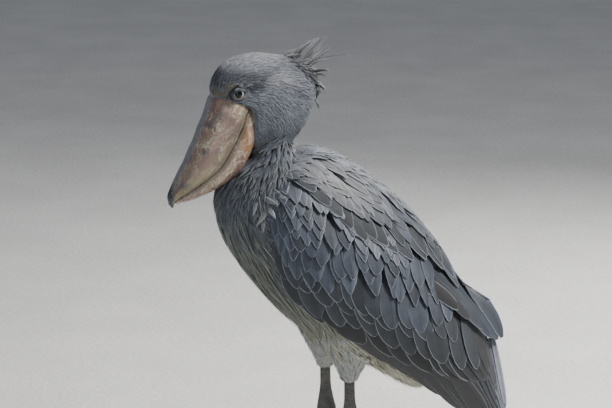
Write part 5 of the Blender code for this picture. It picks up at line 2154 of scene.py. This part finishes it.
@dataclass
class BodyCoat:
    """The small feathers of head, neck, breast, back, belly and thighs."""

    shop: FeatherShop
    skin: Skin
    fringe: int = 190

    @staticmethod
    def tracts() -> dict[str, list[Tract]]:
        """The tracts of each piece.

        Returns:
            The tracts, by the name of their piece.
        """
        plume, strand, scale = Outline.PLUME, Outline.STRAND, Outline.SCALE
        leaf, hair = Section.LEAF, Section.STRAND
        return {
            "breast": [
                Tract("breast", TORSO, (0.2, 3.2), (-165.0, -15.0), (0.011, 0.0075), (0.070, 0.085), 0.0062,
                    -0.001, 0.0085, plume, leaf, SLATE, SLATE, sway=6.0, scatter=0.22),
                Tract("breast strands", TORSO, (0.3, 4.3), (-150.0, -30.0), (0.018, 0.012), (0.080, 0.075),
                    0.0026, 0.003, 0.0105, strand, hair, (0.18, 0.20, 0.205), (0.31, 0.32, 0.25), sway=6.0,
                    scatter=0.28),
            ],
            "belly": [
                Tract("belly", TORSO, (3.2, 4.7), (-160.0, -20.0), (0.012, 0.0080), (0.075, 0.045), 0.0062,
                    -0.001, 0.0085, plume, leaf, SLATE, OLIVE_GREY, sway=6.0, scatter=0.24, reach=0.010),
            ],
            "vent": [
                Tract("vent", TORSO, (4.7, 7.9), (-178.0, -2.0), (0.0085, 0.0055), (0.060, 0.066), 0.0036,
                    -0.001, 0.0075, plume, leaf, (0.34, 0.32, 0.235), (0.40, 0.375, 0.28), sway=12.0,
                    scatter=0.16, curl=0.004, reach=0.010),
                Tract("vent strands", TORSO, (4.9, 7.9), (-170.0, -10.0), (0.014, 0.010), (0.070, 0.075),
                    0.0018, 0.002, 0.0100, strand, hair, CREAM, CREAM, sway=14.0, scatter=0.2, curl=0.006,
                    reach=0.010),
            ],
            "mantle": [
                Tract("mantle", BACK, (0.1, 7.6), (-96.0, 96.0), (0.013, 0.010), (0.060, 0.080), 0.0100,
                    -0.001, 0.0085, Outline.OVAL, leaf, ASH, SLATE, sway=7.0, scatter=0.20, reach=0.022),
                Tract("rump", TORSO, (5.8, 7.9), (10.0, 170.0), (0.015, 0.012), (0.060, 0.060), 0.0110,
                    -0.001, 0.0080, Outline.OVAL, leaf, SLATE, ASH, sway=7.0, scatter=0.18),
            ],
            "collar": [
                Tract("collar", NECK, (0.2, 4.0), (-180.0, 180.0), (0.0080, 0.0062), (0.036, 0.060), 0.0040,
                    -0.001, 0.0058, plume, leaf, (0.048, 0.056, 0.078), NECK_BLUE, sway=12.0, scatter=0.26,
                    curl=0.003),
                # painted light: these raised feathers are coloured paler than the collar around them, standing
                # in for the light they catch
                Tract("ruffle", TORSO, (0.15, 1.1), (-16.0, 14.0), (0.016, 0.012), (0.030, 0.040), 0.0050,
                    0.002, 0.0140, plume, leaf, ASH, WARM_GREY, sway=38.0, scatter=0.30, curl=0.010),
                Tract("shoulders", TORSO, (0.0, 1.7), (-38.0, 50.0), (0.010, 0.0080), (0.050, 0.062), 0.0070,
                    -0.001, 0.0085, plume, leaf, NECK_BLUE, SLATE, sway=10.0, scatter=0.24),
                Tract("far shoulders", TORSO, (0.0, 1.7), (130.0, 218.0), (0.010, 0.0080), (0.050, 0.062),
                    0.0070, -0.001, 0.0085, plume, leaf, NECK_BLUE, SLATE, sway=10.0, scatter=0.24),
            ],
            "thighs": [
                Tract(f"{name} thigh", surface, (0.0, 4.9), (-180.0, 180.0), (0.0085, 0.0058), (0.050, 0.030),
                    0.0038, -0.001, 0.0075, plume, leaf, (0.27, 0.285, 0.285), (0.24, 0.255, 0.255), sway=9.0,
                    scatter=0.15)
                for name, surface in THIGHS.items()
            ],
            "face": [
                Tract("face", HEAD, (0.25, 4.3), (-180.0, 180.0), (0.0040, 0.0030), (0.0120, 0.016), 0.0016,
                    -0.0003, 0.0011, scale, leaf, ASH, ASH, sway=8.0, swing=-82.0, scatter=0.20),
            ],
            "nape": [
                Tract("nape", HEAD, (4.2, 6.9), (-180.0, 180.0), (0.0044, 0.0032), (0.015, 0.024), 0.0014,
                    -0.0004, 0.0018, plume, leaf, ASH, ASH, sway=9.0, swing=-60.0, scatter=0.15, curl=0.0012),
            ],
        }

    @staticmethod
    def paint_head(plumes: Plumes) -> None:
        """Colours the head's feathers: crown painted light, brow and fold painted shade, a dark streak, a
        smooth cheek.

        Args:
            plumes: the feathers.
        """
        _, y, z = plumes.centres[:, 0].T
        tone = plumes.tints[:, 0] / np.array(ASH)
        # painted light: the feathers grow paler towards the top of the head, as if lit from above
        crown_light = np.clip((z - 0.935 - 0.25 * (y + 0.20)) / 0.030, 0, 1) ** 0.8
        # painted shade: a dark band over the eye stands in for the shadow under the brow's overhang
        brow_shade = np.clip(1.9 - np.abs(z - 0.929) / 0.010, 0, 1) * np.clip((-0.146 - y) / 0.02, 0, 1)
        lore = bump(y, -0.215, 0.010) * bump(z, 0.915, 0.007)
        lore = np.maximum(lore, bump(y, -0.238, 0.020) * bump(z, 0.900, 0.010))
        chin = bump(z, 0.800, 0.016) * np.clip((-0.11 - y) / 0.03, 0, 1)
        colour = mixed((0.115, 0.130, 0.158), (0.255, 0.267, 0.290), crown_light)
        colour = mixed(colour, (0.036, 0.041, 0.056), brow_shade * 0.92)
        for mark in (STREAK, PALE_TEMPLE, FOLD_SHADE):
            colour = mixed(colour, mark.colour, mark.share(y, z))
        colour = mixed(colour, (0.15, 0.128, 0.058), lore * 0.75)
        colour = mixed(colour, (0.12, 0.12, 0.085), chin * 0.6)
        plumes.tints = np.repeat((colour * tone)[:, None], plumes.centres.shape[1], 1)

    @staticmethod
    def paint_breast(plumes: Plumes) -> None:
        """Warms the plumes towards the middle and the foot of the breast.

        Args:
            plumes: the feathers.
        """
        x, _, z = plumes.centres[:, 0].T
        front = np.clip(1.2 - np.abs(x) / 0.10, 0, 1)
        low = np.clip((0.72 - z) / 0.10, 0, 1) * front
        olive = mixed((0.115, 0.128, 0.085), (0.25, 0.25, 0.18), np.clip((0.60 - z) / 0.16, 0, 1))
        share = np.repeat((low * 0.65)[:, None], plumes.tints.shape[1], 1)
        plumes.tints = mixed(plumes.tints, olive[:, None], share)

    def crest(self) -> Plumes:
        """The tuft and the fringe at the back of the head, each vane with thinner ones beside it.

        Returns:
            The feathers.
        """
        draw = np.random.default_rng(23)
        outline = Outline.POINTED
        t = outline.stations
        bow = np.stack(((1 - t) * (1 - 2 * t), 4 * t * (1 - t), t * (2 * t - 1)), 1)
        tuft = Plumes(Section.LEAF)
        for index, (*side_view, half, spread) in enumerate(CREST_ROWS):
            root_y, root_z, middle_y, middle_z, tip_y, tip_z = side_view
            grey = np.array((0.33, 0.34, 0.36) if root_z > 0.94 else (0.11, 0.12, 0.14))
            for k in range(1 if index == LONG_CREST else 6):
                shake = draw.normal(0.0, 1.0, (3, 3)) * np.array((0.0035, 0.0022, 0.0022)) * min(k, 1)
                root = np.array((spread * 0.5, root_y, root_z)) + shake[0] * np.array((1.6, 0.6, 0.6))
                middle = np.array((spread * 1.5, middle_y, middle_z)) + shake[1]
                tip = np.array((spread * 2.4, tip_y, tip_z)) + shake[2] * 1.6
                path = bow @ np.array((root, middle, tip))
                slope = course(path)
                lean = np.full(len(t), spread * 40 + shake[0, 0] * 60)
                normal = squared(np.stack((lean, -slope[:, 2], slope[:, 1]), 1), path)
                slim = 0.75 if k == 0 else draw.uniform(0.25, 0.5)
                shade = grey
                if index == LONG_CREST:
                    shade, slim = np.array((0.045, 0.05, 0.06)), 1.0
                spot = (0.05 + 0.9 * index / len(CREST_ROWS), 0.1 + 0.12 * k)
                shade = shade * draw.uniform(0.75, 1.2)
                tuft.add(turned(path), turned(normal, True), half * slim * outline.widths, shade, spot, t)
        self.add_fringe(tuft, draw)
        return tuft

    def add_fringe(self, tuft: Plumes, draw: np.random.Generator) -> None:
        """Adds the loose fine strands at the back of the head to the tuft.

        Args:
            tuft: the tuft.
            draw: the source of chance.
        """
        outline = Outline.POINTED
        t = outline.stations
        for k in range(self.fringe):
            share = (k + draw.uniform()) / self.fringe
            side = 1.0 if k % 2 else -1.0
            s = 4.3 + 2.4 * share + draw.uniform(-0.2, 0.2)
            a = 90.0 - side * draw.uniform(0.0, 1.0) ** 1.4 * (34 + 26 * share)
            point, normal, run, _ = HEAD.frame(np.array(s), np.array(a))
            way = unit(run) * (0.9 + 0.5 * share) + normal * (0.75 - 0.25 * share)
            way = unit(way + draw.normal(0, 0.12, 3))
            length = draw.uniform(0.016, 0.030) * (1.0 - 0.25 * share)
            fall = np.array((0.0, 0.25, -1.0)) * (length * (0.10 + 0.35 * share))
            path = point + way * (length * t)[:, None] + fall * (t**2)[:, None]
            upright = unit(np.cross(course(path), AXIS_X) + draw.normal(0, 0.15, 3))
            wide = draw.uniform(0.0010, 0.0019) * outline.widths
            grey = mixed((0.36, 0.37, 0.38), (0.16, 0.175, 0.195), share) * draw.uniform(0.7, 1.25)
            spot = (0.05 + 0.9 * share, 0.9 + 0.08 * draw.uniform())
            tuft.add(path, squared(upright, path), wide, grey, spot, t)

    def skin_finish(self) -> Material:
        """Grey down and skin between the feathers.

        Returns:
            The material.
        """
        made, colour, height = MottledFinish(
            "skin", 0.8, (0.045, 0.05, 0.06), (0.10, 0.11, 0.125), 45.0, 600.0
        ).start(Sheen_Weight=0.3)
        b = made.bench
        up = b.step("ShaderNodeSeparateXYZ", {0: b.place()}, "Z").reach(0.80, 0.86)
        made.colour(b.mix(up * 0.6, colour, (0.12, 0.135, 0.155)))
        made.relief(height, 0.0008)
        return made.material

    def build(self) -> None:
        """Grows every tract and makes its pieces."""
        plume = FeatherFinish(
            "plumes", (0.26, 0.28, 0.26), 0.55, 0.0010, 0.1, shaft=0.25, pitch=0.0016
        ).build()
        pale = FeatherFinish(
            "pale plumes", (0.62, 0.61, 0.55), 0.4, rim_start=0.1, shaft=0.1, pitch=0.0016
        ).build()
        fine = FeatherFinish(
            "fine feathers", (0.30, 0.31, 0.33), 0.3, 0.0004, shaft=0.15, pitch=0.0009
        ).build()
        back = FeatherFinish("mantle feathers", **BACK_LOOK).build()
        looks = {"vent": pale, "thighs": pale, "mantle": back, "face": fine, "nape": fine}
        seed = 100
        for name, tracts in self.tracts().items():
            finish = looks.get(name, plume)
            grown: dict[tuple, list[Plumes]] = {}
            for tract in tracts:
                seed += 1
                batch = self.skin.grow(tract, seed)
                if name in ("face", "nape"):
                    self.paint_head(batch)
                if name in ("breast", "belly"):
                    self.paint_breast(batch)
                grown.setdefault((tract.outline, tract.section), []).append(batch)
            for number, batches in enumerate(grown.values()):
                label = f"{name}_coat" if number == 0 else f"{name}_coat_{number + 1}"
                slot = "pale_plumage" if finish is pale else "body_plumage"
                finished(self.shop.coat(label, batches, finish), finish, slot)
        finished(self.shop.coat("crest", [self.crest()], fine), fine, "body_plumage")


@dataclass
class Studio:
    """The floor, the lights and the camera."""

    target: tuple = (0.0, -0.065, 0.686)
    back: tuple = (0.9728, -0.1022, 0.2079)
    distance: float = 5.0
    lens: float = 155.0
    reach: float = 30.0
    # Each light: its place, its size, its power and its colour.
    lights: tuple = (
        ("key", (1.0, 1.9, 3.0), 0.8, 225.0, (1.0, 0.97, 0.92)),
        ("fill", (2.8, -2.2, 1.5), 2.4, 38.0, (0.92, 0.96, 1.0)),
        ("back", (-2.2, 1.6, 2.0), 1.4, 80.0, (1.0, 0.98, 0.95)),
    )

    def floor(self) -> None:
        """A wide pale floor."""
        mesh = bpy.data.meshes.new("studio_floor")
        corners = [(x * self.reach, y * self.reach, 0.0) for x, y in ((-1, -1), (1, -1), (1, 1), (-1, 1))]
        mesh.from_pydata(corners, [], [(0, 1, 2, 3)])
        made = new_object("studio_floor", mesh)
        look = MottledFinish("floor", 0.7, (0.66, 0.66, 0.65), (0.72, 0.72, 0.71), 3.0, 90.0)
        finish, colour, _ = look.start()
        finish.colour(colour)
        made.data.materials.append(finish.material)

    @staticmethod
    def set_up(name: str, data: bpy.types.ID, place: Vector, aim: Vector) -> Piece:
        """Puts a light or a camera in its place.

        Args:
            name: its name.
            data: the light or the camera.
            place: where it stands.
            aim: which way it looks.

        Returns:
            The object.
        """
        made = bpy.data.objects.new(name, data)
        made.location = place
        made.rotation_euler = aim.to_track_quat("-Z", "Y").to_euler()
        bpy.context.scene.collection.objects.link(made)
        return made

    def build(self) -> None:
        """Sets the studio up."""
        data = bpy.data.cameras.new("camera")
        data.lens, data.sensor_width = self.lens, 36.0
        data.dof.use_dof = False
        back = Vector(self.back).normalized()
        place = Vector(self.target) + back * self.distance
        bpy.context.scene.camera = self.set_up("camera", data, place, -back)
        self.floor()
        for name, place, size, power, colour in self.lights:
            data = bpy.data.lights.new(name, "AREA")
            data.size, data.energy, data.color = size, power, colour
            self.set_up(name, data, Vector(place), Vector((0.0, 0.0, 0.6)) - Vector(place))
        world = bpy.data.worlds.new("studio")
        world.use_nodes = True
        sky = world.node_tree.nodes["Background"].inputs
        sky["Color"].default_value = (0.85, 0.90, 1.0, 1.0)
        sky["Strength"].default_value = 0.23
        bpy.context.scene.world = world


def main() -> None:
    """Builds the bird and its studio in order."""
    logging.basicConfig(level=logging.INFO, format="%(name)s %(message)s")
    Studio().build()
    eyes = Eyes()
    eyes.build()
    Bill().build()
    shop = FeatherShop()
    wings = Wings(shop)
    wings.build_bases()
    skin = Skin(eyes)
    hide = skin.build()
    skin.hide_under(wings.bases)
    coat = BodyCoat(shop, skin)
    finished(hide, coat.skin_finish(), "body_plumage", "torso", "neck", "head", "thigh_left", "thigh_right")
    coat.build()
    wings.build()
    Tail(shop).build()
    Legs().build()


if __name__ == "__main__":
    main()
